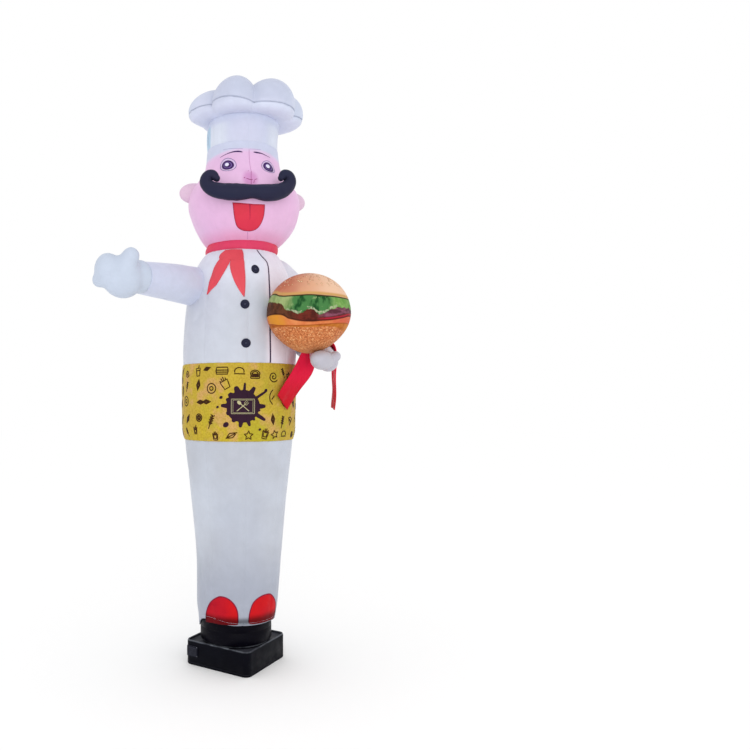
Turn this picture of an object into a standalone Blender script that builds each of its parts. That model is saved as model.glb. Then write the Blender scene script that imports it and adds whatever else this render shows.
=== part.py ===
"""Inflatable air dancer: a cloth chef figure blown up over a square blower base.

Metres, +Z up. The origin is the centre of the base's bottom face. The figure faces -Y and
holds the burger on its +X side. An azimuth is an angle round the figure's axis, in degrees
from -Y towards +X. Every cloth piece that air fills is a solid of its full, blown-up form.
"""

import math

import bmesh
import bpy
import numpy as np
from mathutils import Matrix, Vector

# ---------------------------------------------------------------- driving dimensions
GAP = 0.0003  # between pieces that touch

# Blower base
BASE_SIZE = (0.440, 0.430)  # along the azimuth BASE_TURN, and across it
BASE_HEIGHT = 0.142
BASE_TURN = 49.0
BASE_CORNER = 0.040  # radius of the upright corners
BASE_EDGE = 0.012  # rounding of the top edge
RIM_WIDTH = 0.010  # raised lip round the top
RIM_DEPTH = 0.012  # how far the top is sunk inside the lip
RIM_DRAFT = 0.002  # how far the lip's inner wall slopes in
COLLAR_RADIUS = 0.212
COLLAR_FOOT = 0.200  # its radius where it stands inside the lip
COLLAR_FLARE = 0.150  # height where it has flared to its full radius, clear of the lip
COLLAR_TOP = 0.295
VENT_SIZE = (0.074, 0.060)  # width along the side face, height
VENT_PROUD = 0.006
VENT_FROM_CORNER = 0.056  # from the upright corner to the vent's middle
VENT_MIDDLE = 0.082  # height of the vent's middle
LOUVRES = 4
LOUVRE_HEIGHT = 0.007
LOUVRE_LEDGE = 0.001  # rise of a louvre's underside

# The figure leans a little: (height, x, y) of its axis
LEAN = (
    (0.00, 0.000, 0.000),
    (0.32, 0.006, 0.000),
    (0.62, 0.015, -0.008),
    (1.00, 0.013, -0.016),
    (1.55, 0.013, -0.030),
    (2.15, 0.020, -0.050),
    (2.43, 0.025, -0.061),
    (2.53, 0.040, -0.066),
    (2.70, 0.037, -0.072),
    (2.94, 0.028, -0.081),
    (3.12, 0.029, -0.087),
    (3.23, 0.046, -0.089),
    (3.38, 0.060, -0.090),
)

# Sewn sections of the trunk: (height, radius)
LEGS = (
    (0.285, 0.232),
    (0.330, 0.239),
    (0.460, 0.246),
    (0.620, 0.253),
    (0.840, 0.271),
    (1.080, 0.295),
    (1.270, 0.316),
    (1.325, 0.321),
)
APRON = (
    (1.325, 0.325),
    (1.360, 0.334),
    (1.460, 0.339),
    (1.600, 0.341),
    (1.720, 0.340),
    (1.760, 0.336),
)
JACKET = (
    (1.760, 0.334),
    (1.830, 0.336),
    (1.965, 0.332),
    (2.115, 0.320),
    (2.215, 0.303),
    (2.290, 0.281),
    (2.350, 0.251),
    (2.388, 0.226),
    (2.405, 0.212),
)
NECK_BAND = (
    (2.405, 0.208),
    (2.418, 0.214),
    (2.442, 0.214),
    (2.455, 0.209),
)
HEAD = (
    (2.455, 0.212),
    (2.500, 0.253),
    (2.550, 0.286),
    (2.615, 0.313),
    (2.685, 0.328),
    (2.745, 0.319),
    (2.800, 0.286),
    (2.850, 0.246),
    (2.895, 0.224),
    (2.940, 0.215),
    (3.005, 0.208),
)
HAT_BAND = (
    (3.005, 0.206),
    (3.085, 0.209),
    (3.160, 0.211),
)
GORES = 8  # panels round the trunk, one seam at the front
GORE_DEPTH = 0.012  # how far a seam is drawn in, as a share of the radius
GORE_CREASE = 0.8  # 1 draws the cloth in gently, a smaller power creases it at the seam
AROUND = 40  # points round the trunk, a multiple of GORES
JACKET_RINGS = 1  # rings up the jacket besides its rows

# The legs' hem is uneven: (azimuth, height of its edge)
HEM = (
    (-180, 0.225),
    (-130, 0.206),
    (-100, 0.206),
    (-70, 0.278),
    (-10, 0.272),
    (60, 0.266),
    (115, 0.245),
    (180, 0.225),
)
HEM_RADIUS = 0.224

# Six-lobed puff of the hat: (reach from its axis, height) down a lobe and down the valley
# between two lobes, from the band up to the middle of the top
PUFF_LOBE = (
    (0.211, 3.160),
    (0.266, 3.166),
    (0.316, 3.192),
    (0.340, 3.236),
    (0.334, 3.292),
    (0.302, 3.334),
    (0.245, 3.355),
    (0.175, 3.355),
    (0.095, 3.344),
)
PUFF_VALLEY = (
    (0.211, 3.160),
    (0.244, 3.174),
    (0.270, 3.201),
    (0.279, 3.236),
    (0.270, 3.274),
    (0.242, 3.300),
    (0.188, 3.316),
    (0.125, 3.324),
    (0.065, 3.329),
)
PUFF_MIDDLE = 3.338  # height of the puff's very middle
# The puff tips over: its rise for each metre towards +X and +Y, and the share at each row
PUFF_TIP = (-0.066, 0.13)
PUFF_TIPPED = (0.0, 0.5, 0.85, 1.0, 0.8, 0.4, 0.0, 0.0, 0.0)
# One side lobe hangs lower: its azimuth, spread in degrees and drop, and the share at each row
PUFF_SAG = (-84.0, 27.0, 0.044)
PUFF_SAGGED = (0.0, 0.0, 0.0, 0.0, 0.8, 1.0, 0.8, 0.4, 0.0)
PUFF_SEAM = 3  # the row of both tables where the side and top panels are sewn together
PUFF_CREASE = 0.75  # as GORE_CREASE
PUFF_AROUND = 60
PUFF_VALLEYS = (-180.0, -117.0, -51.0, 0.0, 63.5, 129.0, 180.0)  # azimuths between the lobes

# Ears: (azimuth, height)
EARS = {"ear_left": (95.0, 2.738), "ear_right": (-95.0, 2.768)}
EAR_SIZE = (0.046, 0.088, 0.060)  # front to back, outwards, upwards, as half sizes
EAR_REACH = 0.290  # from the head's axis to the ear's middle

CHEEKS = 2.70  # height where the head is fullest

# Moustache: (azimuth, reach from the head's axis, height, half thickness)
MOUSTACHE = (
    (-31.0, 0.386, 2.752, 0.017),
    (-34.0, 0.392, 2.770, 0.025),
    (-37.6, 0.400, 2.762, 0.030),
    (-38.9, 0.404, 2.730, 0.033),
    (-34.5, 0.400, 2.696, 0.035),
    (-26.0, 0.388, 2.678, 0.039),
    (-14.0, 0.370, 2.674, 0.043),
    (-1.0, 0.361, 2.680, 0.037),
    (12.0, 0.363, 2.678, 0.043),
    (23.0, 0.370, 2.692, 0.039),
    (30.0, 0.376, 2.720, 0.035),
    (33.2, 0.378, 2.752, 0.032),
    (31.8, 0.376, 2.782, 0.029),
    (27.6, 0.372, 2.788, 0.024),
    (24.8, 0.368, 2.768, 0.016),
)

# Sleeves: (x, y, height, radius) along the middle of each
RIGHT_ARM = (
    (-0.150, -0.010, 2.208, 0.119),
    (-0.283, -0.153, 2.207, 0.111),
    (-0.400, -0.292, 2.202, 0.102),
    (-0.500, -0.410, 2.196, 0.092),
    (-0.570, -0.493, 2.191, 0.084),
)
LEFT_ARM = (
    (0.150, -0.020, 2.290, 0.100),
    (0.235, -0.010, 2.285, 0.118),
    (0.330, 0.007, 2.190, 0.116),
    (0.380, 0.010, 2.070, 0.112),
    (0.400, -0.022, 1.950, 0.103),
    (0.438, -0.118, 1.862, 0.086),
    (0.465, -0.215, 1.815, 0.076),
    (0.471, -0.345, 1.773, 0.056),
)

# Mittens: (x, y, height, half length, half width, half height) of the lumps that the air
# pushes out, each lump's length lying along the hand
RIGHT_HAND_WAY = (-0.90, -0.40, -0.06)
RIGHT_HAND = (
    (-0.575, -0.497, 2.193, 0.080, 0.080, 0.088),
    (-0.660, -0.562, 2.180, 0.112, 0.088, 0.110),
    (-0.730, -0.592, 2.204, 0.070, 0.076, 0.090),
    (-0.772, -0.575, 2.160, 0.040, 0.050, 0.040),
)
RIGHT_THUMB = ((-0.652, -0.595, 2.222, 0.058), (-0.617, -0.612, 2.278, 0.045))
LEFT_HAND_WAY = (-0.43, -0.90, 0.02)
LEFT_HAND = (
    (0.468, -0.362, 1.770, 0.062, 0.058, 0.058),
    (0.404, -0.472, 1.770, 0.134, 0.060, 0.053),
)
HAND_FACETS = {"right": 0.028, "left": 0.022}  # size of the facets of each mitten
LEFT_THUMB = ((0.448, -0.430, 1.772, 0.036), (0.485, -0.450, 1.793, 0.031))

# Burger
BURGER_MIDDLE = (0.336, -0.444, 2.025)
BURGER_RADIUS = 0.228
BURGER_FLAT = 0.95  # its height as a share of its width
BURGER_TAPER = 0.18  # how much the lower half narrows, as a share of the radius

# Napkin over the forearm: (x, y, height, azimuth of its width) along its middle
NAPKIN = (
    (0.555, -0.150, 1.508, 82.0),
    (0.556, -0.168, 1.615, 82.0),
    (0.554, -0.186, 1.720, 84.0),
    (0.549, -0.200, 1.812, 87.0),
    (0.525, -0.207, 1.876, 90.0),
    (0.465, -0.210, 1.900, 90.0),
    (0.412, -0.214, 1.878, 72.0),
    (0.394, -0.236, 1.815, 44.0),
    (0.358, -0.260, 1.738, 30.0),
    (0.291, -0.287, 1.640, 38.0),
    (0.216, -0.323, 1.540, 40.0),
)
NAPKIN_WIDTH = 0.136
NAPKIN_THICK = 0.011
NAPKIN_STEPS = 27
NAPKIN_ENDS = (0.72, 0.93)  # share of the width at each end and one step in
# Section of the napkin's upper side: (place across, height), as shares of its half sizes
NAPKIN_SECTION = (
    (-1.0, 0.0),
    (-0.95, 0.8),
    (-0.5, 1.0),
    (0.0, 1.0),
    (0.5, 1.0),
    (0.95, 0.8),
    (1.0, 0.0),
)

LAID = 0.0009  # height of a flat piece's underside above the jacket

# Neck scarf on the jacket: the knot, then (azimuth, height, half width) down each tail
SCARF_THICK = 0.003
KNOT_THICK = 0.012
SCARF_KNOT = (-16.8, 2.386, 0.050, 0.013)  # azimuth, height, half width, half height
SCARF_TAILS = {
    "scarf_tail_right": (
        (-23.6, 2.368, 0.023),
        (-30.0, 2.315, 0.037),
        (-36.5, 2.235, 0.034),
        (-41.5, 2.180, 0.018),
        (-44.5, 2.143, 0.002),
    ),
    "scarf_tail_left": (
        (-10.0, 2.368, 0.023),
        (-12.2, 2.315, 0.040),
        (-9.8, 2.235, 0.035),
        (-7.0, 2.170, 0.020),
        (-4.6, 2.122, 0.002),
    ),
}

# Buttons: (azimuth, height)
BUTTONS = ((8.4, 2.280), (-3.7, 2.081), (-2.2, 1.867))
BUTTON_RADIUS = 0.025
BUTTON_THICK = 0.004

# Colours (red, green, blue) and roughness
FINISHES = {
    "white_cloth": ((0.80, 0.82, 0.90), 0.70),
    "pink_cloth": ((0.86, 0.55, 0.78), 0.70),
    "red_cloth": ((0.78, 0.03, 0.05), 0.70),
    "navy_cloth": ((0.02, 0.02, 0.07), 0.65),
    "yellow_cloth": ((0.80, 0.62, 0.10), 0.70),
    "burger_cloth": ((0.75, 0.38, 0.12), 0.70),
    "black_plastic": ((0.01, 0.01, 0.012), 0.45),
}


# ---------------------------------------------------------------- curves
def through(rows, at):
    """A smooth curve through the rows of a table, read at values of its first column."""
    table = np.array(rows, float)
    key, values = table[:, 0], table[:, 1:]
    slope = np.gradient(values, key, axis=0)
    i = np.clip(np.searchsorted(key, at, side="right") - 1, 0, len(key) - 2)
    span = key[i + 1] - key[i]
    t = min(max((at - key[i]) / span, 0.0), 1.0)
    start, end = values[i], values[i + 1]
    a = (1 + 2 * t) * (1 - t) ** 2 * start + t * (1 - t) ** 2 * span * slope[i]
    b = t * t * (3 - 2 * t) * end + t * t * (t - 1) * span * slope[i + 1]
    return a + b


def along(rows, steps):
    """Points spaced evenly by row along a smooth curve through the rows of a table."""
    numbered = [(i, *row) for i, row in enumerate(rows)]
    return [through(numbered, u) for u in np.linspace(0, len(rows) - 1, steps)]


def outwards(azimuth):
    """The level direction that an azimuth points in."""
    a = math.radians(azimuth)
    return Vector((math.sin(a), -math.cos(a), 0.0))


def axis_at(z):
    x, y = through(LEAN, z)
    return Vector((x, y, z))


# ---------------------------------------------------------------- meshes
def finish(name):
    material = bpy.data.materials.get(name)
    if material is None:
        colour, roughness = FINISHES[name]
        material = bpy.data.materials.new(name)
        material.use_nodes = True
        shader = material.node_tree.nodes["Principled BSDF"]
        shader.inputs["Base Color"].default_value = (*colour, 1.0)
        shader.inputs["Roughness"].default_value = roughness
        shader.inputs["Metallic"].default_value = 0.0
        material.diffuse_color = (*colour, 1.0)
    return material


def add_object(name, bm, cloth):
    """An object of a closed bmesh, its faces pointing out."""
    bmesh.ops.recalc_face_normals(bm, faces=bm.faces)
    mesh = bpy.data.meshes.new(name)
    bm.to_mesh(mesh)
    bm.free()
    mesh.materials.append(finish(cloth))
    mesh.shade_smooth()
    mesh.set_sharp_from_angle(angle=math.radians(40))
    thing = bpy.data.objects.new(name, mesh)
    bpy.context.collection.objects.link(thing)
    return thing


def loft(rings):
    """A closed bmesh through rings of points; a ring of one point is a pole."""
    bm = bmesh.new()
    loops = [[bm.verts.new(p) for p in ring] for ring in rings]
    for low, high in zip(loops, loops[1:]):
        count = max(len(low), len(high))
        for i in range(count):
            j = (i + 1) % count
            corners = [low[i % len(low)], low[j % len(low)]]
            corners += [high[j % len(high)], high[i % len(high)]]
            bm.faces.new(list(dict.fromkeys(corners)))
    for end in (loops[0], loops[-1]):
        if len(end) > 1:
            bm.faces.new(end)
    return bm


def baked(thing):
    """Turns an object's modifiers into its mesh."""
    graph = bpy.context.evaluated_depsgraph_get()
    mesh = bpy.data.meshes.new_from_object(thing.evaluated_get(graph))
    thing.modifiers.clear()
    thing.data = mesh


def cut(thing, bm):
    """Takes the shape of a closed bmesh away from an object."""
    cutter = add_object("cutter", bm, "white_cloth")
    boolean = thing.modifiers.new("cut", "BOOLEAN")
    boolean.operation = "DIFFERENCE"
    boolean.solver = "EXACT"
    boolean.object = cutter
    baked(thing)
    bpy.data.objects.remove(cutter)
    bm = bmesh.new()
    bm.from_mesh(thing.data)
    bmesh.ops.remove_doubles(bm, verts=bm.verts, dist=0.00005)
    bmesh.ops.dissolve_degenerate(bm, edges=bm.edges, dist=0.00005)
    bm.to_mesh(thing.data)
    bm.free()


def cut_flat(bm, point, normal):
    """Cuts a closed bmesh on a plane and keeps the side that the normal points to."""
    everything = bm.verts[:] + bm.edges[:] + bm.faces[:]
    bmesh.ops.bisect_plane(
        bm, geom=everything, plane_co=point, plane_no=normal, clear_inner=True, dist=1e-5
    )
    bmesh.ops.holes_fill(bm, edges=[e for e in bm.edges if e.is_boundary])


# ---------------------------------------------------------------- blower base
def rounded_oblong(inset, corner, z, steps=5):
    """A level ring round the base's outline with round corners, drawn in by an inset."""
    long, short = (side / 2 - inset - corner for side in BASE_SIZE)
    along_base, across_base = outwards(BASE_TURN), outwards(BASE_TURN + 90)
    ring = []
    for k, (s, t) in enumerate(((1, 1), (-1, 1), (-1, -1), (1, -1))):
        middle = along_base * long * s + across_base * short * t
        for i in range(steps):
            azimuth = BASE_TURN + 90 * k + 90 * i / (steps - 1)
            ring.append(middle + outwards(azimuth) * corner + Vector((0, 0, z)))
    return ring


def base_parts():
    floor = BASE_HEIGHT - RIM_DEPTH
    rings = [rounded_oblong(0.0, BASE_CORNER, 0.0)]
    for angle in (0, 45, 90):
        drop = BASE_EDGE * (1 - math.sin(math.radians(angle)))
        inset = BASE_EDGE * (1 - math.cos(math.radians(angle)))
        rings.append(rounded_oblong(inset, BASE_CORNER - inset, BASE_HEIGHT - drop))
    corner = BASE_CORNER / 2
    rings.append(rounded_oblong(RIM_WIDTH, corner, BASE_HEIGHT))
    rings.append(rounded_oblong(RIM_WIDTH + RIM_DRAFT, corner - RIM_DRAFT, floor))
    add_object("blower_base", loft(rings), "black_plastic")

    collar = []
    for radius, z in (
        (COLLAR_FOOT, floor + GAP),
        (COLLAR_FOOT, BASE_HEIGHT),
        (COLLAR_RADIUS, COLLAR_FLARE),
        (COLLAR_RADIUS, COLLAR_TOP - GAP),
    ):
        collar.append([outwards(a) * radius + Vector((0, 0, z)) for a in azimuths(AROUND)])
    add_object("outlet_collar", loft(collar), "black_plastic")
    vent_panel()


def vent_panel():
    """Small louvred panel near one upright corner of the base, sloped ribs on a plate."""
    long, short = (side / 2 for side in BASE_SIZE)
    normal = outwards(BASE_TURN - 90)
    side = outwards(BASE_TURN - 180)  # along the face, towards the corner
    width, height = VENT_SIZE
    middle = normal * (short + GAP) + side * (long - VENT_FROM_CORNER)
    back, plate = 0.0, VENT_PROUD / 2
    pitch = height / (LOUVRES + 1)
    outline = [(back, -height / 2), (plate, -height / 2)]
    for i in range(LOUVRES):
        foot = -height / 2 + pitch * (i + 1) - LOUVRE_HEIGHT / 2
        outline += [
            (plate, foot),
            (VENT_PROUD, foot + LOUVRE_LEDGE),
            (plate, foot + LOUVRE_HEIGHT),
        ]
    outline += [(plate, height / 2), (back, height / 2)]
    rings = []
    for s in (-width / 2, width / 2):
        rings.append(
            [
                middle + normal * out + side * s + Vector((0, 0, VENT_MIDDLE + up))
                for out, up in outline
            ]
        )
    add_object("vent_panel", loft(rings), "black_plastic")


# ---------------------------------------------------------------- trunk
def azimuths(count):
    return [360.0 * i / count for i in range(count)]


def gored(radius, azimuth):
    """A radius, drawn in a little at the seams between the panels."""
    fullness = abs(math.sin(math.radians(azimuth * GORES / 2))) ** GORE_CREASE
    return radius * (1 - GORE_DEPTH * (1 - fullness))


def trunk_ring(rows, z, grow=0.0):
    radius = through(rows, z)[0] + grow
    return [axis_at(z) + outwards(a) * gored(radius, a) for a in azimuths(AROUND)]


def ring_heights(rows, more):
    """Heights of the rings up a section: its rows, and more where they lie far apart."""
    heights = [rows[0][0] + GAP / 2, *(z for z, _ in rows[1:-1]), rows[-1][0] - GAP / 2]
    for _ in range(more):
        widest = max(range(len(heights) - 1), key=lambda i: heights[i + 1] - heights[i])
        heights.insert(widest + 1, (heights[widest] + heights[widest + 1]) / 2)
    return heights


def section(rows, more=0, grow=0.0):
    """Rings up one sewn section of the trunk."""
    heights = ring_heights(rows, more)
    if grow:
        heights = [rows[0][0] - grow, *heights[1:-1], rows[-1][0] + grow]
    return [trunk_ring(rows, z, grow) for z in heights]


def leg_tube():
    """The white leg section, open below and drawn down over the collar."""
    clear = COLLAR_RADIUS + 2 * GAP
    socket, inner, outer = [], [], []
    for a in azimuths(AROUND):
        hem = through(HEM, (a + 180) % 360 - 180)[0]
        socket.append(outwards(a) * clear + Vector((0, 0, COLLAR_TOP)))
        inner.append(outwards(a) * clear + Vector((0, 0, hem)))
        outer.append(outwards(a) * HEM_RADIUS + Vector((0, 0, hem)))
    rings = [socket, inner, outer, *section(LEGS)]
    add_object("leg_tube", loft(rings), "white_cloth")


def trunk_parts():
    leg_tube()
    add_object("apron_band", loft(section(APRON)), "yellow_cloth")
    add_object("jacket", loft(section(JACKET, JACKET_RINGS)), "white_cloth")
    add_object("neck_band", loft(section(NECK_BAND)), "red_cloth")
    add_object("head", loft(section(HEAD)), "pink_cloth")
    add_object("hat_band", loft(section(HAT_BAND)), "white_cloth")


# ---------------------------------------------------------------- hat puff
def puff_fullness(a):
    """How far the puff bulges at azimuth a: 0 in a valley, 1 at the middle of a lobe."""
    turn = (a + 180) % 360 - 180
    for start, end in zip(PUFF_VALLEYS, PUFF_VALLEYS[1:]):
        if turn < end:
            return math.sin(math.pi * (turn - start) / (end - start)) ** PUFF_CREASE


def puff_ring(row, lift=0.0):
    """One level of the puff: lobes bulge out between valleys, one valley at the front."""
    ring = []
    for a in azimuths(PUFF_AROUND):
        fullness = puff_fullness(a)
        reach_in, low = PUFF_VALLEY[row]
        reach_out, high = PUFF_LOBE[row]
        reach = reach_in + (reach_out - reach_in) * fullness
        z = low + (high - low) * fullness
        out = outwards(a) * reach
        tip = (out.x * PUFF_TIP[0] + out.y * PUFF_TIP[1]) * PUFF_TIPPED[row]
        aside = ((a + 180) % 360 - 180 - PUFF_SAG[0]) / PUFF_SAG[1]
        sag = PUFF_SAG[2] * math.exp(-(aside**2)) * PUFF_SAGGED[row]
        ring.append(axis_at(z) + out + Vector((0, 0, lift + tip - sag)))
    return ring


def hat_puff():
    side = [puff_ring(0, GAP / 2)]
    side += [puff_ring(row) for row in range(1, PUFF_SEAM)]
    side += [puff_ring(PUFF_SEAM, -GAP / 2)]
    add_object("hat_side", loft(side), "white_cloth")
    top = [puff_ring(PUFF_SEAM, GAP / 2)]
    top += [puff_ring(row) for row in range(PUFF_SEAM + 1, len(PUFF_LOBE))]
    top += [[axis_at(PUFF_MIDDLE)]]
    add_object("hat_top", loft(top), "white_cloth")


# ---------------------------------------------------------------- stuffed pieces
def sausage(rows, steps, around, grow=0.0, round_ends=(True, True)):
    """A bmesh tube along (x, y, z, radius) rows, with round or flat ends."""
    points = along(rows, steps)
    middles = [Vector(p[:3]) for p in points]
    radii = [p[3] + grow for p in points]
    ways = [
        (middles[min(i + 1, steps - 1)] - middles[max(i - 1, 0)]).normalized()
        for i in range(steps)
    ]
    if round_ends[0]:
        cap(middles, radii, ways, 0)
    if round_ends[1]:
        cap(middles, radii, ways, -1)
    across = ways[0].orthogonal().normalized()
    rings = []
    for middle, radius, way in zip(middles, radii, ways):
        across = (across - way * across.dot(way)).normalized()
        up = way.cross(across)
        if radius < 1e-6:
            rings.append([middle])
            continue
        turns = [2 * math.pi * k / around for k in range(around)]
        rings.append(
            [middle + (across * math.cos(t) + up * math.sin(t)) * radius for t in turns]
        )
    return loft(rings)


def cap(middles, radii, ways, end):
    """Rounds off one end of a tube with two more rings and a pole."""
    middle, radius = middles[end], radii[end]
    out = ways[end] if end else -ways[end]
    for turn in (35, 65, 90):
        angle = math.radians(turn)
        place = len(middles) if end else 0
        shrunk = radius * math.cos(angle) if turn < 90 else 0.0
        middles.insert(place, middle + out * radius * math.sin(angle))
        radii.insert(place, shrunk)
        ways.insert(place, ways[end])


def blown(lumps, thumb, way, voxel):
    """A bmesh of a mitten: lumps and a thumb, run together by the air in them."""
    along_hand = Vector(way).normalized()
    frame = along_hand.to_track_quat("X", "Z").to_matrix()
    bm = bmesh.new()
    for x, y, z, *halves in lumps:
        place = Matrix.LocRotScale(Vector((x, y, z)), frame.to_quaternion(), halves)
        bmesh.ops.create_uvsphere(
            bm, u_segments=24, v_segments=16, radius=1.0, matrix=place
        )
    thumb_bm = sausage(thumb, 4, 14)
    thumb_mesh = bpy.data.meshes.new("thumb")
    thumb_bm.to_mesh(thumb_mesh)
    thumb_bm.free()
    bm.from_mesh(thumb_mesh)
    bpy.data.meshes.remove(thumb_mesh)
    lumpy = add_object("lumpy", bm, "white_cloth")
    remesh = lumpy.modifiers.new("remesh", "REMESH")
    remesh.mode = "VOXEL"
    remesh.voxel_size = voxel
    smooth = lumpy.modifiers.new("smooth", "SMOOTH")
    smooth.factor = 0.5
    smooth.iterations = 3
    baked(lumpy)
    joined = bmesh.new()
    joined.from_mesh(lumpy.data)
    bpy.data.objects.remove(lumpy)
    return joined


def moustache_rows():
    middle = axis_at(CHEEKS)
    rows = []
    for azimuth, reach, z, half in MOUSTACHE:
        spot = middle + outwards(azimuth) * reach
        rows.append((spot.x, spot.y, z, half))
    return rows


def head_pieces():
    for name, (azimuth, z) in EARS.items():
        out = outwards(azimuth)
        turned = Matrix((outwards(azimuth + 90), out, Vector((0, 0, 1)))).transposed()
        place = Matrix.LocRotScale(
            axis_at(z) + out * EAR_REACH, turned.to_quaternion(), EAR_SIZE
        )
        bm = bmesh.new()
        bmesh.ops.create_uvsphere(
            bm, u_segments=14, v_segments=10, radius=1.0, matrix=place
        )
        ear = add_object(name, bm, "pink_cloth")
        cut(ear, loft(section(HEAD, grow=GAP)))
    moustache = add_object("moustache", sausage(moustache_rows(), 36, 10), "navy_cloth")
    cut(moustache, loft(section(HEAD, grow=GAP)))


def burger_bm(grow=0.0, around=24, levels=14):
    middle = Vector(BURGER_MIDDLE)
    rings = []
    for k in range(levels + 1):
        angle = math.pi * k / levels - math.pi / 2
        narrow = 1 - BURGER_TAPER * min(0.0, math.sin(angle)) ** 2
        radius = (BURGER_RADIUS + grow) * math.cos(angle) * narrow
        z = (BURGER_RADIUS * BURGER_FLAT + grow) * math.sin(angle)
        level = middle + Vector((0, 0, z))
        if k in (0, levels):
            rings.append([level])
        else:
            rings.append([level + outwards(a) * radius for a in azimuths(around)])
    return loft(rings)


def arms_and_hands():
    for name, rows in (("right_arm", RIGHT_ARM), ("left_arm", LEFT_ARM)):
        bm = sausage(rows, 2 * len(rows), 18, round_ends=(False, False))
        arm = add_object(name, bm, "white_cloth")
        cut(arm, loft(section(JACKET, JACKET_RINGS, GAP)))

    bm = blown(RIGHT_HAND, RIGHT_THUMB, RIGHT_HAND_WAY, HAND_FACETS["right"])
    end_of_sleeve(bm, RIGHT_ARM)
    add_object("right_hand", bm, "white_cloth")
    bm = blown(LEFT_HAND, LEFT_THUMB, LEFT_HAND_WAY, HAND_FACETS["left"])
    end_of_sleeve(bm, LEFT_ARM)
    hand = add_object("left_hand", bm, "white_cloth")
    cut(hand, burger_bm(GAP))


def end_of_sleeve(bm, rows):
    """Cuts a mitten flat where it is sewn to the end of its sleeve."""
    before, last = along(rows, 2 * len(rows))[-2:]
    way = (Vector(last[:3]) - Vector(before[:3])).normalized()
    cut_flat(bm, Vector(last[:3]) + way * GAP, way)


def burger():
    ball = add_object("burger", burger_bm(), "burger_cloth")
    cut(ball, loft(section(JACKET, JACKET_RINGS, GAP)))


def napkin():
    """A cloth strip folded double over the forearm."""
    half, thick = NAPKIN_WIDTH / 2, NAPKIN_THICK / 2
    outline = [*NAPKIN_SECTION, *((s, -t) for s, t in NAPKIN_SECTION[-2:0:-1])]
    points = along(NAPKIN, NAPKIN_STEPS)
    last = NAPKIN_STEPS - 1
    rings = []
    for i, (x, y, z, azimuth) in enumerate(points):
        before, after = points[max(i - 1, 0)], points[min(i + 1, last)]
        way = Vector(after[:3] - before[:3]).normalized()
        wide = outwards(azimuth + 90)
        wide = (wide - way * wide.dot(way)).normalized()
        through_cloth = way.cross(wide)
        narrow = (*NAPKIN_ENDS, 1.0)[min(i, last - i, len(NAPKIN_ENDS))]
        rings.append(
            [
                Vector((x, y, z)) + wide * half * s * narrow + through_cloth * thick * t
                for s, t in outline
            ]
        )
    cloth = add_object("napkin", loft(rings), "red_cloth")
    cut(cloth, sausage(LEFT_ARM, 2 * len(LEFT_ARM), 18, GAP, (False, False)))


# ---------------------------------------------------------------- pieces sewn flat on the jacket
def on_curve(azimuth, z, proud):
    """A point over the jacket's full curve, for a piece that spans several facets."""
    radius = gored(through(JACKET, z)[0], azimuth)
    return axis_at(z) + outwards(azimuth) * (radius + LAID + proud)


def on_facet(azimuth, z, proud):
    """A point over one of the jacket's facets, for a small piece."""
    heights = ring_heights(JACKET, JACKET_RINGS)
    i = max(k for k, height in enumerate(heights[:-1]) if height <= z)
    low, high = trunk_ring(JACKET, heights[i]), trunk_ring(JACKET, heights[i + 1])
    k = math.floor(azimuth * AROUND / 360)
    share = azimuth * AROUND / 360 - k
    below, above = (
        ring[k % AROUND].lerp(ring[(k + 1) % AROUND], share) for ring in (low, high)
    )
    spot = below.lerp(above, (z - heights[i]) / (heights[i + 1] - heights[i]))
    return spot + outwards(azimuth) * (LAID + proud)


def appliqued(outline, thick, middle, levels, place):
    """A closed piece lying on the jacket, crowned a little towards its middle."""

    def ring(share, proud):
        spots = []
        for azimuth, z in outline:
            a = middle[0] + (azimuth - middle[0]) * share
            height = middle[1] + (z - middle[1]) * share
            spots.append(place(a, height, proud))
        return spots

    shares = [k / levels for k in range(1, levels + 1)]
    rings = [[place(*middle, 0.0)]]
    rings += [ring(share, 0.0) for share in shares]
    rings += [ring(share, thick * (1 - share**2 / 2)) for share in reversed(shares)]
    rings += [[place(*middle, thick)]]
    return loft(rings)


def ellipse_on_jacket(azimuth, z, half_wide, half_high, count):
    """Outline of (azimuth, height) spots round an ellipse on the jacket."""
    turn = math.degrees(half_wide / through(JACKET, z)[0])
    angles = [math.radians(a) for a in azimuths(count)]
    return [(azimuth + turn * math.sin(a), z + half_high * math.cos(a)) for a in angles]


def buttons():
    for n, (azimuth, z) in enumerate(BUTTONS, start=1):
        outline = ellipse_on_jacket(azimuth, z, BUTTON_RADIUS, BUTTON_RADIUS, 14)
        bm = appliqued(outline, BUTTON_THICK, (azimuth, z), 3, on_facet)
        add_object(f"button_{n}", bm, "navy_cloth")


def scarf_tail(rows, steps=13, across_steps=6):
    """A thin pointed strip on the jacket along (azimuth, height, half width) rows."""
    spots = along(rows, steps)
    rings = []
    for i, (azimuth, z, half) in enumerate(spots):
        radius = through(JACKET, z)[0]
        before, after = spots[max(i - 1, 0)], spots[min(i + 1, steps - 1)]
        run = math.radians(after[0] - before[0]) * radius
        rise = after[1] - before[1]
        long = math.hypot(run, rise)
        across, up = -rise / long, run / long
        ring = []
        sides = [2 * k / across_steps - 1 for k in range(across_steps + 1)]
        outline = [(side, 0) for side in sides] + [(side, 1) for side in sides[::-1]]
        for side, proud in outline:
            a = azimuth + math.degrees(side * half * across / radius)
            height = z + side * half * up
            ring.append(on_curve(a, height, SCARF_THICK * proud))
        rings.append(ring)
    return loft(rings)


def scarf():
    azimuth, z, half_wide, half_high = SCARF_KNOT
    outline = ellipse_on_jacket(azimuth, z, half_wide, half_high, 14)
    knot = appliqued(outline, KNOT_THICK, (azimuth, z), 4, on_curve)
    add_object("scarf_knot", knot, "red_cloth")
    for name, rows in SCARF_TAILS.items():
        add_object(name, scarf_tail(rows), "red_cloth")


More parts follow.
